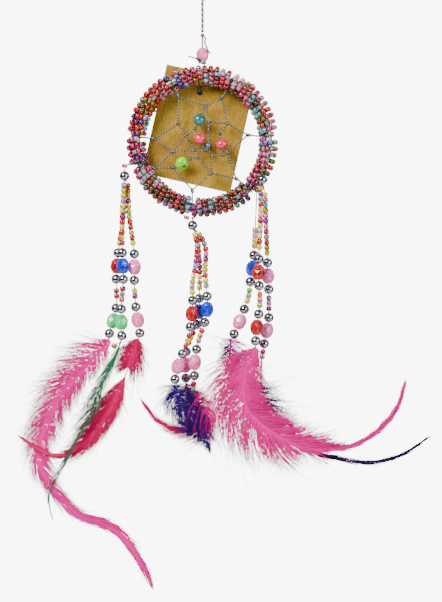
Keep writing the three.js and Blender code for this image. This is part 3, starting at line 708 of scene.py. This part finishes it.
def add_web():
    """All the web's thread: a hitch round the wire at each neck, the outer zigzag, and the inner runs."""
    paths = []
    for place, angle in enumerate(HITCHES):
        paths.append(loop_round(ring_point(angle, 0.0), ring_tangent(angle), HITCH_RADIUS))
        hitch = ring_point(angle, -HITCH_RADIUS - 0.1)
        neck, valley, next_neck = NECKS[place], VALLEYS[place], NECKS[(place + 1) % len(NECKS)]
        lift = np.array([0, 0.22, 0])
        paths.append(pulled([hitch + lift, neck + lift]))
        paths.append(pulled([hitch - lift, neck - lift]))
        paths.append(pulled([neck, valley, next_neck]))
        paths.append(wraps_at(neck, neck - hitch, 2.6))
        paths.append(wraps_at(valley, valley - HOOP_CENTRE))
    for order, run in enumerate(web_runs()):
        side = np.array([0, 0.16 if order % 2 else -0.16, 0])
        paths.append(pulled(np.array(run) + side))
        paths.extend(wraps_at(point, run[k + 1] - point, 1.6) for k, point in enumerate(run[:-1]) if k)
    thread_piece("web_silver_thread", paths, THREAD_RADIUS, "thread", "hoop",
                 ["web_thread"], sides=8)


def add_web_beads():
    """The four beads in the web, and the tiny blue seed beside the middle one."""
    crackle = round_bead(radius=2.7, hole=0.75, length=4.6, sides=20, rows=12)
    pony = round_bead(radius=2.75, hole=1.1, length=4.4, sides=28, rows=14)
    foot, right_top = web(-0.124, 0.221), web(0.31, 0.137)
    beads = [
        ("crackle_bead_teal", crackle, TEAL, foot - TEAL, "teal", "teal_crystal", "teal"),
        ("crackle_bead_centre", crackle, PINK, foot - PINK, "coral", "pink_crystal", "pink_centre"),
        ("crackle_bead_right", crackle, PINK_RIGHT, right_top - PINK_RIGHT, "coral", "pink_crystal",
         "pink_right"),
        ("pony_bead_lime", pony, LIME, (0.35, -0.55, -0.75), "lime", "lime_bead", "lime"),
    ]
    for title, shape, at, axis, finish, slot, node in beads:
        make_piece(f"web_{title}", stamp(shape, [at], [axis]), finish, "hoop", [f"web_bead_{node}"])
    add_seed("web_seed_blue", lone_seed(0.9), web(0.1, -0.075), (1, 0, -0.4), "#5a88c8")


add_web()
add_web_beads()

# ---------------------------------------------------------------- ties and card


def tie_ring(angle):
    """Thread round the hoop at an angle, pulled down between the beads."""
    return loop_round(ring_point(angle, 0.0), ring_tangent(angle), TIE_SUNK)


def add_tie(name, angle, sunk, leaves, knot_at, knot_size, seed=None):
    """A thread tied round the hoop: its ring, the lead from where it leaves the winding, and its knot."""
    paths = [tie_ring(angle), pulled([sunk, leaves, knot_at], 0.3), *knot_paths(knot_at, knot_size)]
    thread_piece(f"{name}_tie_thread", paths, THREAD_RADIUS, "thread", "hoop",
                 [f"{name}_tie"])
    if seed:
        at, colour = seed
        add_seed(f"{name}_tie_seed", lone_seed(1.1), at, (0.3, 0, 1), colour)


PIVOTS = {"left": from_hoop((-31.15, 0, -9.79))[0], "middle": from_hoop((-3.96, 0, -30.64))[0],
          "right": from_hoop((23.68, -6.23, -12.59))[0]}
add_tie("left", 197.5, ring_point(197.5, TIE_SUNK), ring_point(197.5, TIE_RADIUS), PIVOTS["left"], 1.0,
        (PIVOTS["left"], "#e0508c"))
add_tie("middle", 264.5, ring_point(264.5, TIE_SUNK), ring_point(264.5, TIE_RADIUS), PIVOTS["middle"], 0.5,
        (from_hoop((-6.4, 0, -30.4))[0], "#d84a58"))
add_tie("right", -22, ring_point(-22, 0.0, -TIE_SUNK), ring_point(-22, 0.0, -TIE_RADIUS), PIVOTS["right"],
        0.6)


def add_hanger_tie():
    """The tie at the top of the hoop, its loose ends, and the string that holds the card behind."""
    hole = np.array([-1.09, 5.43, 20.13])
    front = from_hoop((hole[0], TIE_RADIUS, hole[2]))[0]
    knot = from_hoop((hole[0], 7.5, hole[2] + 0.3))[0]
    over = ring_point(90, 0.0, TIE_RADIUS)
    silver_end = from_hoop((0.3, -1.2, 31.0), (-1.2, -2.0, 32.4), (-3.4, -2.4, 32.9), (-5.8, -2.6, 33.7))
    lead = pulled([ring_point(90, TIE_SUNK), over + (0, 0, 0.6)], 0.3)
    thread_piece("hanger_tie_thread", [tie_ring(90), lead, smooth_path(silver_end, 0.4)], THREAD_RADIUS,
                 "thread", "hoop", ["hanger_tie"])
    dark_end = from_hoop((-2.3, -2.6, 33.0), (-1.8, -3.4, 31.9), (-0.8, -4.4, 30.4))
    string = pulled([ring_point(90, 0.0, TIE_SUNK), front, knot], 0.4)
    paths = [smooth_path(dark_end, 0.4), string, *knot_paths(knot, 2.1), *knot_paths(knot, 1.1)]
    thread_piece("hanger_tie_dark_string", paths, STRING_RADIUS, "string", "hoop")
    add_seed("hanger_tie_seed", lone_seed(1), from_hoop((0.5, -3.6, 31.0))[0], (0.2, 0.1, 1), "#88a8a0")


add_hanger_tie()
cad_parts["card"].material_slots[0].material = FINISH["card"]

# ---------------------------------------------------------------- tassels

SEED_COLOURS = {
    "R": "#c40018", "Y": "#fce200", "P": "#f484b8", "M": "#940080", "L": "#b0a4bc", "T": "#74a4a4",
    "O": "#ceb000", "G": "#a8de00", "A": "#f05400",
}
# Each strand: how far back it hangs, how far down it the silver bead that opens each of its two groups sits,
# the colours of the seeds above them and between them, its two faceted beads, and the thread's course as
# (right, up) from the bottom of the head bead. Some start lower down, or have seeds below the last group.
Strand = namedtuple("Strand", "name back first second seeds between crystals course start tail",
                    defaults=(0.4, ""))
TASSELS = {
    "left": [
        Strand("front", -2.9, 28.4, 50.8, "LOGPYYMRYRYR", "RTA", ("blue", "green"),
               [(0, -0.5), (-0.7, -14.3), (-0.7, -28.9), (-0.3, -39.4), (-1.1, -51.2), (-0.9, -61.9),
                (-1.3, -64.6)]),
        Strand("middle", 0.0, 28.9, 50.1, "RAYMYYGRRORY", "YM", ("pink", "pink"),
               [(1.2, -0.5), (1.9, -14.3), (3.9, -29.2), (3.9, -39.8), (4.5, -50.1), (6.1, -60.8),
                (5.7, -62.9)]),
        Strand("back", 2.6, 28.4, 50.6, "PYRPMYPRYPRY", "RR", ("red", "green"),
               [(-0.2, -0.5), (-0.7, -14.3), (-2.7, -28.7), (-3.5, -39.4), (-3.5, -50.7), (-6.1, -60.5),
                (-6.5, -62.7)]),
    ],
    "middle": [
        Strand("front", -2.3, 27.8, 49.6, "YRLRRMLRYOPY", "RYR", ("red", "pink"),
               [(0.7, -0.6), (1.9, -6.6), (1.2, -14.6), (-0.1, -21.9), (0.1, -28.2), (-0.2, -33.7),
                (-0.9, -38.8), (-1.7, -43.6), (-3.9, -49.2), (-6.2, -55.7), (-7.2, -61.1)]),
        Strand("middle", -0.3, 26.6, 48.4, "ORTRPMYYRYL", "ROP", ("blue", "pink"),
               [(2.1, -0.6), (5.2, -7.2), (5, -17.2), (5.8, -26.2), (5.8, -31.4), (4.9, -36.7), (2.6, -43.6),
                (1.4, -48.7), (0.8, -53.7), (0.8, -57.7), (0.4, -61.5), (0, -64.8)], tail="RLO"),
        Strand("back", 4.2, 26.8, 49.2, "OYRGPRMRYPY", "RYA", ("blue", "pink"),
               [(1.4, -0.6), (2.6, -9.6), (2.8, -19.6), (2.4, -32.1), (1.6, -38.1), (-1, -43.6),
                (-2.6, -48.6), (-3, -52.6), (-2.8, -60.2)]),
    ],
    "right": [
        Strand("front", -3.4, 29.1, 50.9, "OMTRYPRYLYRY", "APG", ("red", "red"),
               [(-0.7, -0.4), (-0.7, -12.3), (-1.2, -24.3), (-1.6, -35.2), (-1, -46.3), (-2.2, -56.2),
                (-2.7, -61.8), (-2.7, -64.1)]),
        Strand("middle", 1.5, 27.6, 49.4, "PPYO", "GLY", ("blue", "pink"),
               [(-1.9, -0.4), (-2.5, -12.3), (-3.2, -27.9), (-4.6, -37.9), (-5.3, -43.9), (-7.6, -50.9),
                (-10, -56.9), (-12.6, -61.9)], start=16.5),
        Strand("back", 3.2, 30.5, 52.3, "YPTOPMPRLROY", "LPM", ("pink", "pink"),
               [(0.7, -0.4), (1.3, -6.3), (1.7, -18.3), (2.1, -27.9), (2.3, -35.7), (2.7, -41.6),
                (2.7, -52.6), (2.1, -57.1), (1, -62.3), (0.1, -68.3)], start=2.5, tail="RL"),
    ],
}
STRAND_STEP = 0.35
# How far a thread may run on past the end of its course, straight down.
RUN_ON = 12.0
SILVER_SHAPE = round_bead(SILVER_RADIUS, hole=0.6, length=SILVER_LENGTH, sides=24, rows=15)
CRYSTAL_SHAPE = cut_bead(radius=2.68, hole=0.6, length=6.1, sides=8, bands=6)
STRAND_SEED = ring_bead(SEED_RADIUS * 1.04, SEED_HOLE, SEED_PITCH * 0.97, 12, 8)


def to_length(points, length):
    """A smooth path through the points, trimmed or run on straight so that it has the length."""
    path = smooth_path(points, STRAND_STEP)
    path = np.concatenate([path, [path[-1] + unit(path[-1] - path[-2]) * RUN_ON]])
    return points_at(path, np.linspace(0, length, int(length / STRAND_STEP)))


def on_path(path, distances):
    """The points and directions at distances along a path."""
    along, direction = lengths_along(path), tangents(path)
    direction = np.stack([np.interp(distances, along, direction[:, k]) for k in range(3)], 1)
    return points_at(path, distances), unit(direction)


def strand_body(tassel, name):
    """The middle strand of a tassel moves with the tassel; the others have a body of their own."""
    return f"{tassel}_tassel" if name == "middle" else f"{tassel}_{name}_strand"


def strand_path(head_bottom, strand):
    """The line that a strand's thread follows."""
    length = strand.second + 2 * BEAD_PITCH + SILVER_LENGTH / 2 + len(strand.tail) * SEED_PITCH + 0.9
    course = [head_bottom + (right, strand.back, up) for right, up in strand.course]
    return to_length(course, length)


def seed_places(strand):
    """How far down a strand each of its seeds sits, with the seeds' colours in the same order."""
    half = SILVER_LENGTH / 2
    fit = int((strand.first - half - 0.3 - strand.start) / SEED_PITCH)
    upper = strand.seeds[:fit]
    group_end = strand.first + 2 * BEAD_PITCH + half
    room = strand.second - half - group_end
    between = strand.between[: int((room - 0.5) / SEED_PITCH)]
    starts = [strand.start, group_end + (room - len(between) * SEED_PITCH) / 2,
              strand.second + 2 * BEAD_PITCH + half + 0.3]
    runs = [upper, between, strand.tail]
    places = [start + (np.arange(len(run)) + 0.5) * SEED_PITCH for start, run in zip(starts, runs)]
    return np.concatenate(places), "".join(runs)


def add_strand(tassel, strand, head_bottom, rng):
    """One strand: its thread, its seed beads, its silver beads and its two faceted beads."""
    name, body = f"{tassel}_{strand.name}", strand_body(tassel, strand.name)
    path = strand_path(head_bottom, strand)
    # Where seeds start at the top, the thread starts inside the first one, clear of the lead it swings from.
    hidden = 3 if strand.start < 1 else 0
    thread_piece(f"{name}_thread", [path[hidden:]], 0.24, "thread", body,
                 [f"{tassel}_strand_{strand.name}"], sides=6)
    places, colours = seed_places(strand)
    centres, axes = on_path(path, places)
    axes = unit(axes + rng.normal(0, 0.09, axes.shape))
    seeds = stamp(STRAND_SEED, centres, axes, scale=rng.normal(1.0, 0.05, (len(centres), 3)))
    tones = np.array([linear(SEED_COLOURS[letter]) for letter in colours])
    make_piece(f"{name}_seeds", seeds, "seed", body, colour=bead_colours(tones, STRAND_SEED))
    groups = np.array([strand.first, strand.second])
    centres, axes = on_path(path, np.sort(np.r_[groups, groups + 2 * BEAD_PITCH]))
    make_piece(f"{name}_silver_beads", stamp(SILVER_SHAPE, centres, axes), "silver", body)
    for level, colour, along in zip(("upper", "lower"), strand.crystals, groups + BEAD_PITCH):
        centres, axes = on_path(path, [along])
        bead = stamp(CRYSTAL_SHAPE, centres, axes, spin=rng.uniform(0, 0.8, 1))
        make_piece(f"{name}_cut_bead_{level}", bead, colour, body,
                   [f"{tassel}_crystal_{strand.name}_{level}"], smooth=False)
    return path


STRAND_ENDS = {}
for order, (tassel, strands) in enumerate(TASSELS.items()):
    rng = np.random.default_rng(300 + order)
    head_bottom = node_floor(f"{tassel}_head_bead")
    head = stamp(SILVER_SHAPE, [head_bottom + (0, 0, SILVER_LENGTH / 2)], [(0, 0, 1)])
    make_piece(f"{tassel}_head_silver_bead", head, "silver", f"{tassel}_tassel",
               [f"{tassel}_head_bead"])
    # The left pivot is inside a seed bead, so its lead starts under that bead.
    below = (0, 0, -1.15) if tassel == "left" else (0, 0, 0)
    leads = [np.array([PIVOTS[tassel] + below, head_bottom + (0, 0, 0.4)])]
    for strand in strands:
        path = add_strand(tassel, strand, head_bottom, rng)
        leads.append(pulled([head_bottom + (0, 0, 0.4), path[0]], 0.2))
        STRAND_ENDS[tassel, strand.name] = path[-1]
    thread_piece(f"{tassel}_head_thread", leads, 0.26, "thread", f"{tassel}_tassel",
                 sides=6)


def add_amber_seed():
    """The amber seed on a wisp of thread at the foot of the left front strand."""
    end = STRAND_ENDS["left", "front"]
    at = end + (-2.6, 0.2, -1.4)
    add_seed("left_front_amber_seed", STRAND_SEED, at, (0.5, 0, 1), "#e8842a", "left_front_strand")
    wisp = pulled([end, at + (0.6, 0, 0.8), at], 0.2)
    thread_piece("left_front_amber_thread", [wisp], 0.2, "thread", "left_front_strand",
                 sides=6)


add_amber_seed()

# ---------------------------------------------------------------- feathers


HAIR_LENGTH = 1.5
HAIR_THICKNESS = 0.042
QUILL_ROOT_RADIUS = 0.31
QUILL_TIP_RADIUS = 0.05
# A barb stands no further than this in front of or behind its quill, about.
LIFT_LIMIT = 4.5


def spike_faces(rings):
    """The triangles of a three-sided spike: rings of three points, then one point at the tip."""
    faces = [(0, 2, 1)]
    for k in range(rings - 1):
        for j in range(3):
            a, b = 3 * k + j, 3 * k + (j + 1) % 3
            faces += [(a, b, b + 3), (a, b + 3, a + 3)]
    last = 3 * (rings - 1)
    faces += [(last + j, last + (j + 1) % 3, last + 3) for j in range(3)]
    return np.array(faces)


def spikes(lines, thickness):
    """A three-sided spike round each line: its radius falls from thickness to a point at the line's end.

    lines is (count, places, 3). Returns points and triangles.
    """
    count, places, _ = lines.shape
    direction = unit(np.gradient(lines, axis=1))
    across = unit(np.cross(direction, (0.0, 1.0, 0.02)))
    back = np.cross(direction, across)
    turn = np.arange(3) * 2 * np.pi / 3
    share = np.arange(places - 1) / (places - 1)
    radius = np.asarray(thickness)[:, None] * (1 - 0.75 * share**1.4)
    ring = across[:, :-1, None] * np.cos(turn)[:, None] + back[:, :-1, None] * np.sin(turn)[:, None]
    body = lines[:, :-1, None] + ring * radius[..., None, None]
    points = np.concatenate([body.reshape(count, -1, 3), lines[:, -1:]], 1)
    faces = spike_faces(places - 1)[None] + (np.arange(count) * points.shape[1])[:, None, None]
    return points.reshape(-1, 3), faces.reshape(-1, 3)


def drift(places, rng, waves=5):
    """Slow random waves along the feather, about -1 to 1, which part its barbs into tufts."""
    rate, phase = rng.uniform(3, 26, waves), rng.uniform(0, 6.28, waves)
    return np.sin(places[:, None] * rate * 2 * np.pi + phase).sum(1) / waves**0.5 / 1.2


def run_up(steps):
    """How far each line has come at each of its points: the sum of the steps before it."""
    return np.concatenate([np.zeros((len(steps), 1)), steps[:, :-1].cumsum(1)], 1)


def barb_lines(quill, places, side, length, angle, lift, curl, loose, rng, steps=6):
    """A line of points for each barb, which leaves the quill at an angle, eases towards it and follows it.

    A barb's heading gives how far each step goes on along the quill and how far out to the side.
    """
    total = lengths_along(quill)[-1]
    share = np.linspace(0, 1, steps)
    wander = rng.normal(0, 0.03, (len(places), steps)).cumsum(1) * loose[:, None]
    bend = angle[:, None] * (1 - curl[:, None] * share) + wander
    stride = (length / (steps - 1))[:, None]
    onward = run_up(np.cos(bend) * stride) + places[:, None] * total
    outward = run_up(np.sin(bend) * stride) * side[:, None]
    lifted = run_up(lift[:, None] * (0.4 + share) * stride)
    at, along = on_path(quill, onward.ravel())
    at, along = at.reshape(*onward.shape, 3), along.reshape(*onward.shape, 3)
    across = unit(np.cross(along, (0.0, 1.0, 0.0)))
    past = np.maximum(onward - total, 0)[..., None] * along
    return at + past + across * outward[..., None] + lifted[..., None] * np.array([0.0, 1.0, 0.0])


def down_lines(barbs, per_barb, rng):
    """The fine down on fluffy barbs: short straight hairs that leave the barb to all sides."""
    count, steps, _ = barbs.shape
    barb = np.repeat(np.arange(count), per_barb)
    where = rng.uniform(0.05, 0.98, len(barb)) * (steps - 1)
    lower = np.minimum(where.astype(int), steps - 2)
    part = (where - lower)[:, None]
    start = barbs[barb, lower] * (1 - part) + barbs[barb, lower + 1] * part
    along = unit(barbs[barb, lower + 1] - barbs[barb, lower])
    away = rng.normal(0, 1, (len(barb), 3)) * (1.0, 0.7, 1.0)
    away = unit(away - along * (away * along).sum(1, keepdims=True))
    tip = start + unit(0.8 * along + away) * (HAIR_LENGTH * rng.uniform(0.4, 1.0, len(barb)))[:, None]
    return np.stack([start, (start + tip) / 2 + away * 0.04, tip], 1), barb


def tone_along(shares, depths, spread):
    """A feather's depth of dye, which changes along its quill and differs a little from barb to barb."""
    return lambda places, rng: np.interp(places, shares, depths) + rng.normal(0, spread, len(places))


def add_feather(node, title, strand, finish, course, stations, seed, spacing, thickness=0.11,
                tuft=0.18, lift=0.12, down=1.6, layers=1, tone=None):
    """One feather in one mesh, from the foot of a strand: the quill, its barbs and their down.

    stations are (share of the quill, barb length left, right, angle in degrees, down from 0 to 1), with the
    values between them interpolated. Left and right are seen from the front with the quill pointing down.
    """
    rng = np.random.default_rng(seed)
    quill = quill_from(STRAND_ENDS[strand], course)
    total = lengths_along(quill)[-1]
    count = int(total / spacing) * layers
    places = np.tile((np.arange(count) + 0.5) / count, 2) + rng.normal(0, 0.3 / count, 2 * count)
    places = np.clip(places, 0.0, 1.0)
    side = np.repeat([-1.0, 1.0], count)
    share, left, right, degrees, fluff = np.array(stations, float).T
    length = np.where(side < 0, np.interp(places, share, left), np.interp(places, share, right))
    # The barbs that cling to the quill lie further apart than the fluffy ones, so the tail shows streaks.
    keep = (length > 0.4) & (rng.random(len(places)) < 0.4 + 0.6 * np.interp(places, share, fluff))
    places, side, length = places[keep], side[keep], length[keep]
    sway = drift(places + side * 3.1, rng)
    longer = np.where(rng.random(len(places)) < 0.05, rng.uniform(1.1, 1.5, len(places)), 1.0)
    length = length * (1 + 0.16 * sway + rng.normal(0, 0.1, len(places))).clip(0.3) * longer
    length = np.minimum(length, ((1 - places) * total + 0.4) * rng.uniform(0.6, 1.0, len(places)))
    loose = 0.3 + 0.7 * np.interp(places, share, fluff)
    angle = np.radians(np.interp(places, share, degrees))
    angle = angle * (1 + loose * (tuft * drift(places + side, rng) + rng.normal(0, 0.18, len(places))))
    angle = angle * np.where(rng.random(len(places)) < 0.07, rng.uniform(1.3, 2.3, len(places)), 1.0)
    tilt = loose * (rng.normal(0, lift, len(places)) + 0.5 * lift * drift(places * 1.7 + side, rng))
    tilt = np.clip(tilt, -LIFT_LIMIT / length, LIFT_LIMIT / length)
    curl = rng.uniform(0.25, 0.6, len(places))
    barbs = barb_lines(quill, places, side, length, angle, tilt, curl, loose, rng)
    parts = [spikes(barbs, thickness * rng.uniform(0.7, 1.15, len(places)))]
    depth = rng.beta(2.2, 1.6, len(places)) if tone is None else tone(places, rng)
    dyes = [np.repeat(depth, len(parts[0][0]) // len(places))]
    per_barb = (np.interp(places, share, fluff) * length * down).astype(int)
    if per_barb.sum():
        hairs, owner = down_lines(barbs, per_barb, rng)
        parts.append(spikes(hairs, np.full(len(hairs), HAIR_THICKNESS)))
        dyes.append(np.repeat(depth[owner] * 0.9 + 0.1, len(parts[1][0]) // len(hairs)))
    thin = QUILL_TIP_RADIUS + (QUILL_ROOT_RADIUS - QUILL_TIP_RADIUS) * np.linspace(1, 0, len(quill)) ** 0.7
    points, faces, _ = tube(quill, thin, 6)
    parts.append((points, np.concatenate([faces[:, [0, 1, 2]], faces[:, [0, 2, 3]]])))
    dyes.append(np.full(len(points), 0.55))
    make_piece(title, merge(parts), finish, strand_body(*strand), [node], dye=np.concatenate(dyes))


def quill_from(end, course):
    """A quill's line from the foot of its strand through (right, up) offsets from there, its turns eased."""
    steps = [(0, 0, 0.6), (0, 0, -0.6), *((right, 0, up) for right, up in course)]
    return eased(smooth_path([end + step for step in steps], 0.6), 30)


add_feather("feather_pink_long", "long_pink_feather", ("left", "back"), "hot_pink",
            [(-8, -9.4), (-18, -20.2), (-23.7, -30.2), (-27.4, -41.6), (-27.4, -51), (-21.5, -60.5),
             (-15.8, -67.0), (-9.4, -71.6), (-2.2, -73.6), (4.4, -77.2), (11.0, -86.0), (15.4, -93.6),
             (18, -99.8)],
            [(0, 3, 2, 60, 0.9), (0.02, 13, 5, 62, 0.9), (0.06, 15, 8, 52, 0.9), (0.16, 15, 11, 42, 0.9),
             (0.26, 15, 12, 36, 0.8), (0.34, 14, 13, 28, 0.5), (0.42, 14, 15, 20, 0.15),
             (0.5, 14, 15, 13, 0), (0.62, 14, 16, 9, 0), (0.75, 13, 15, 9, 0), (0.85, 13, 13, 7, 0),
             (0.95, 10, 10, 5, 0), (1, 8, 8, 3, 0)],
            seed=11, spacing=0.25, thickness=0.15, layers=3, tuft=0.09, down=1.1)
add_feather("feather_rose_hooked", "hooked_rose_feather", ("left", "middle"), "rose",
            [(-2.4, -5.6), (-4.4, -12.8), (-8.6, -22.0), (-13, -30.8), (-20.2, -40), (-27.0, -45.2),
             (-33, -46.7), (-40.0, -43.6), (-48.0, -38.4)],
            [(0, 6, 6, 52, 1), (0.02, 10, 9, 44, 1), (0.06, 12, 12, 32, 1), (0.1, 9, 10, 24, 0.9),
             (0.13, 4, 5, 20, 0.6), (0.155, 0, 0, 20, 0), (0.2, 0, 0, 20, 0), (0.22, 15, 11, 26, 0.5),
             (0.4, 15, 12, 24, 0.55), (0.55, 11, 13, 18, 0.3), (0.68, 8, 8, 8, 0), (0.88, 7, 7, 5, 0),
             (1, 6, 6, 3, 0)],
            seed=12, spacing=0.16, thickness=0.13, layers=3, tuft=0.12, down=1.8)
add_feather("feather_olive", "olive_feather_thin", ("left", "front"), "olive",
            [(-2.4, -5.4), (-8.9, -19.7), (-12, -27.8), (-21, -45.4), (-28.0, -57.9), (-28.8, -63.3),
             (-27.1, -70.7)],
            [(0, 0, 0, 30, 0), (0.04, 9, 6, 14, 0.5), (0.2, 13, 8, 20, 0.7), (0.4, 12, 7, 22, 0.4),
             (0.5, 7, 6, 9, 0), (0.78, 9, 4, 13, 0), (0.86, 4, 4, 7, 0), (1, 4, 4, 4, 0)],
            seed=13, spacing=0.2, thickness=0.12, down=1.0,
            tone=tone_along([0, 0.22, 0.32, 0.8, 0.88, 1], [0.85, 0.75, 0.1, 0.0, 0.8, 0.9], 0.1))
add_feather("feather_violet", "violet_feather_soft", ("middle", "front"), "violet",
            [(0.8, -4.5), (2.9, -8.3), (9.3, -13.9), (12.8, -20.3), (14.4, -26.7)],
            [(0, 6, 6, 76, 1), (0.06, 8, 7, 66, 1), (0.25, 9, 8, 50, 1), (0.45, 9, 8, 44, 0.9),
             (0.65, 7, 7, 34, 0.7), (0.8, 5, 4, 22, 0.3), (1, 4, 4, 9, 0)],
            seed=14, spacing=0.13, layers=2, lift=0.3, down=3.2)
add_feather("feather_pink_curl", "curled_pink_feather", ("middle", "back"), "rose",
            [(5.8, -8.4), (8.6, -14), (6.3, -17.4), (-3.1, -18.4), (-8.7, -16.8), (-14.2, -11.6),
             (-18.4, -5.5)],
            [(0, 4, 4, 50, 1), (0.15, 6, 7, 45, 1), (0.35, 7, 9, 40, 0.8), (0.5, 9, 8, 22, 0.4),
             (0.62, 9, 7, 11, 0.1), (0.8, 8, 7, 6, 0), (1, 6, 6, 3, 0)],
            seed=15, spacing=0.16, layers=2, lift=0.2, down=2.4)
add_feather("feather_pink_sickle", "sickle_pink_marabou", ("right", "front"), "hot_pink",
            [(-3.6, -7.6), (-4.8, -17.6), (-1.6, -26), (8.9, -34.4), (18.1, -38.8), (28, -39.8),
             (38.6, -38.4), (47.1, -33.4), (54.3, -26), (57.4, -19.1), (59.0, -12.7)],
            [(0, 6, 4, 50, 1), (0.02, 13, 6, 54, 1), (0.06, 20, 8, 60, 1), (0.12, 22, 9, 62, 1),
             (0.2, 21, 9, 62, 1), (0.27, 19, 9, 58, 1), (0.34, 17, 14, 42, 0.9), (0.42, 10, 20, 20, 0.6),
             (0.5, 7, 13, 13, 0.2), (0.6, 8, 7, 8, 0), (0.8, 8, 9, 7, 0), (0.93, 7, 8, 5, 0),
             (1, 6, 6, 3, 0)],
            seed=16, spacing=0.22, thickness=0.19, layers=3, tuft=0.08, lift=0.3, down=0.8)
add_feather("feather_navy", "navy_feather_long", ("right", "middle"), "navy",
            [(0.1, -8.6), (4.1, -17.4), (11, -26.8), (31.7, -43.6), (42.1, -46.7), (51.6, -48.6),
             (61, -47.9), (70.0, -44.4), (79.3, -37.8)],
            [(0, 5, 5, 76, 1), (0.03, 6, 6, 66, 1), (0.08, 5, 5, 50, 1), (0.14, 5, 12, 46, 1),
             (0.22, 6, 15, 45, 1), (0.34, 6, 12, 30, 0.5), (0.45, 7, 7, 12, 0.1), (0.6, 9, 9, 8, 0),
             (0.8, 8, 8, 6, 0), (1, 7, 7, 2, 0)],
            seed=17, spacing=0.2, layers=2, lift=0.2, down=2.3,
            tone=tone_along([0, 0.35, 0.5, 1], [0.8, 0.7, 0.3, 0.2], 0.12))
add_feather("feather_rose_short", "short_rose_feather", ("right", "back"), "rose",
            [(0, -9.8), (2.2, -20.4), (6.1, -29.6), (18.8, -36.8), (26.8, -41.1)],
            [(0, 0, 0, 40, 0), (0.12, 6, 4, 48, 0.8), (0.3, 12, 9, 50, 0.9), (0.5, 14, 15, 50, 0.8),
             (0.7, 12, 16, 36, 0.5), (0.85, 10, 12, 18, 0.2), (1, 9, 9, 7, 0)],
            seed=18, spacing=0.3, lift=0.2)

# ---------------------------------------------------------------- floor and light


FLOOR_RADIUS = 600.0
FLOOR_TOP = -420.0
FLOOR_THICKNESS = 10.0
# The lights' places and sizes are in metres.
LIGHTS_AIM = (0.0, 0.0, -0.13)


def add_floor():
    """A plain pale round floor, well below the lowest feather."""
    low = FLOOR_TOP - FLOOR_THICKNESS
    points, faces = lathe([0.0, FLOOR_RADIUS, FLOOR_RADIUS, 0.0], [FLOOR_TOP, FLOOR_TOP, low, low], 96)
    mesh = bpy.data.meshes.new("floor")
    mesh.from_pydata((points * MM).tolist(), [], faces.tolist())
    material, _, shader = new_finish("matt_pale_paper")
    put(shader, {"Base Color": linear("#c8cac7"), "Roughness": 0.9})
    mesh.materials.append(material)
    place_object("floor", mesh)


def add_light(name, place, size, power):
    """A white square soft box at a place in metres, facing the middle of the object."""
    lamp = bpy.data.lights.new(name, "AREA")
    lamp.size = size
    lamp.energy = power
    box = place_object(name, lamp)
    box.location = place
    z = unit(np.array(place) - np.array(LIGHTS_AIM))
    x = unit(np.cross((0, 0, 1.0), z))
    turn = np.stack([x, np.cross(z, x), z], 1)
    box.rotation_euler = Matrix(turn.tolist()).to_euler()


def add_surroundings():
    """A pale room: even white where the camera looks, and brighter above than below for reflections."""
    world = bpy.data.worlds.new("pale_room")
    bpy.context.scene.world = world
    world.use_nodes = True
    tree = world.node_tree
    tree.nodes.clear()
    place = add(tree, "ShaderNodeTexCoord")
    split = add(tree, "ShaderNodeSeparateXYZ", {0: (place, "Generated")})
    height = add(tree, "ShaderNodeMapRange", {"Value": (split, "Z"), "From Min": -1.0, "From Max": 1.0})
    depth = add(tree, "ShaderNodeMapRange", {"Value": (split, "Y"), "From Min": -1.0, "From Max": 1.0})
    sky = add(tree, "ShaderNodeValToRGB", {0: (height, "Result")},
              [(0.0, "#5a5c60"), (0.45, "#8c8e92"), (0.6, "#e8ebee"), (1.0, "#ffffff")])
    room = add(tree, "ShaderNodeValToRGB", {0: (depth, "Result")},
               [(0.0, "#3a3c42"), (0.4, "#9a9ca0"), (0.7, "#ffffff")])
    mixed = add(tree, "ShaderNodeMix", {0: 1.0, 6: (sky, "Color"), 7: (room, "Color")},
                data_type="RGBA", blend_type="MULTIPLY")
    lit = add(tree, "ShaderNodeBackground", {"Color": (mixed, 2), "Strength": 0.85})
    seen = add(tree, "ShaderNodeBackground", {"Color": linear("#f4f9f4"), "Strength": 9.0})
    ray = add(tree, "ShaderNodeLightPath")
    choice = add(tree, "ShaderNodeMixShader",
                 {0: (ray, "Is Camera Ray"), 1: (lit, "Background"), 2: (seen, "Background")})
    add(tree, "ShaderNodeOutputWorld", {"Surface": (choice, "Shader")})


add_floor()
add_light("key_soft_box", (-0.45, -0.7, 0.35), 0.45, 20.0)
add_light("fill_soft_box", (0.6, -0.55, -0.05), 0.5, 6.0)
add_light("back_soft_box", (0.1, 0.6, 0.3), 0.6, 5.0)
add_surroundings()
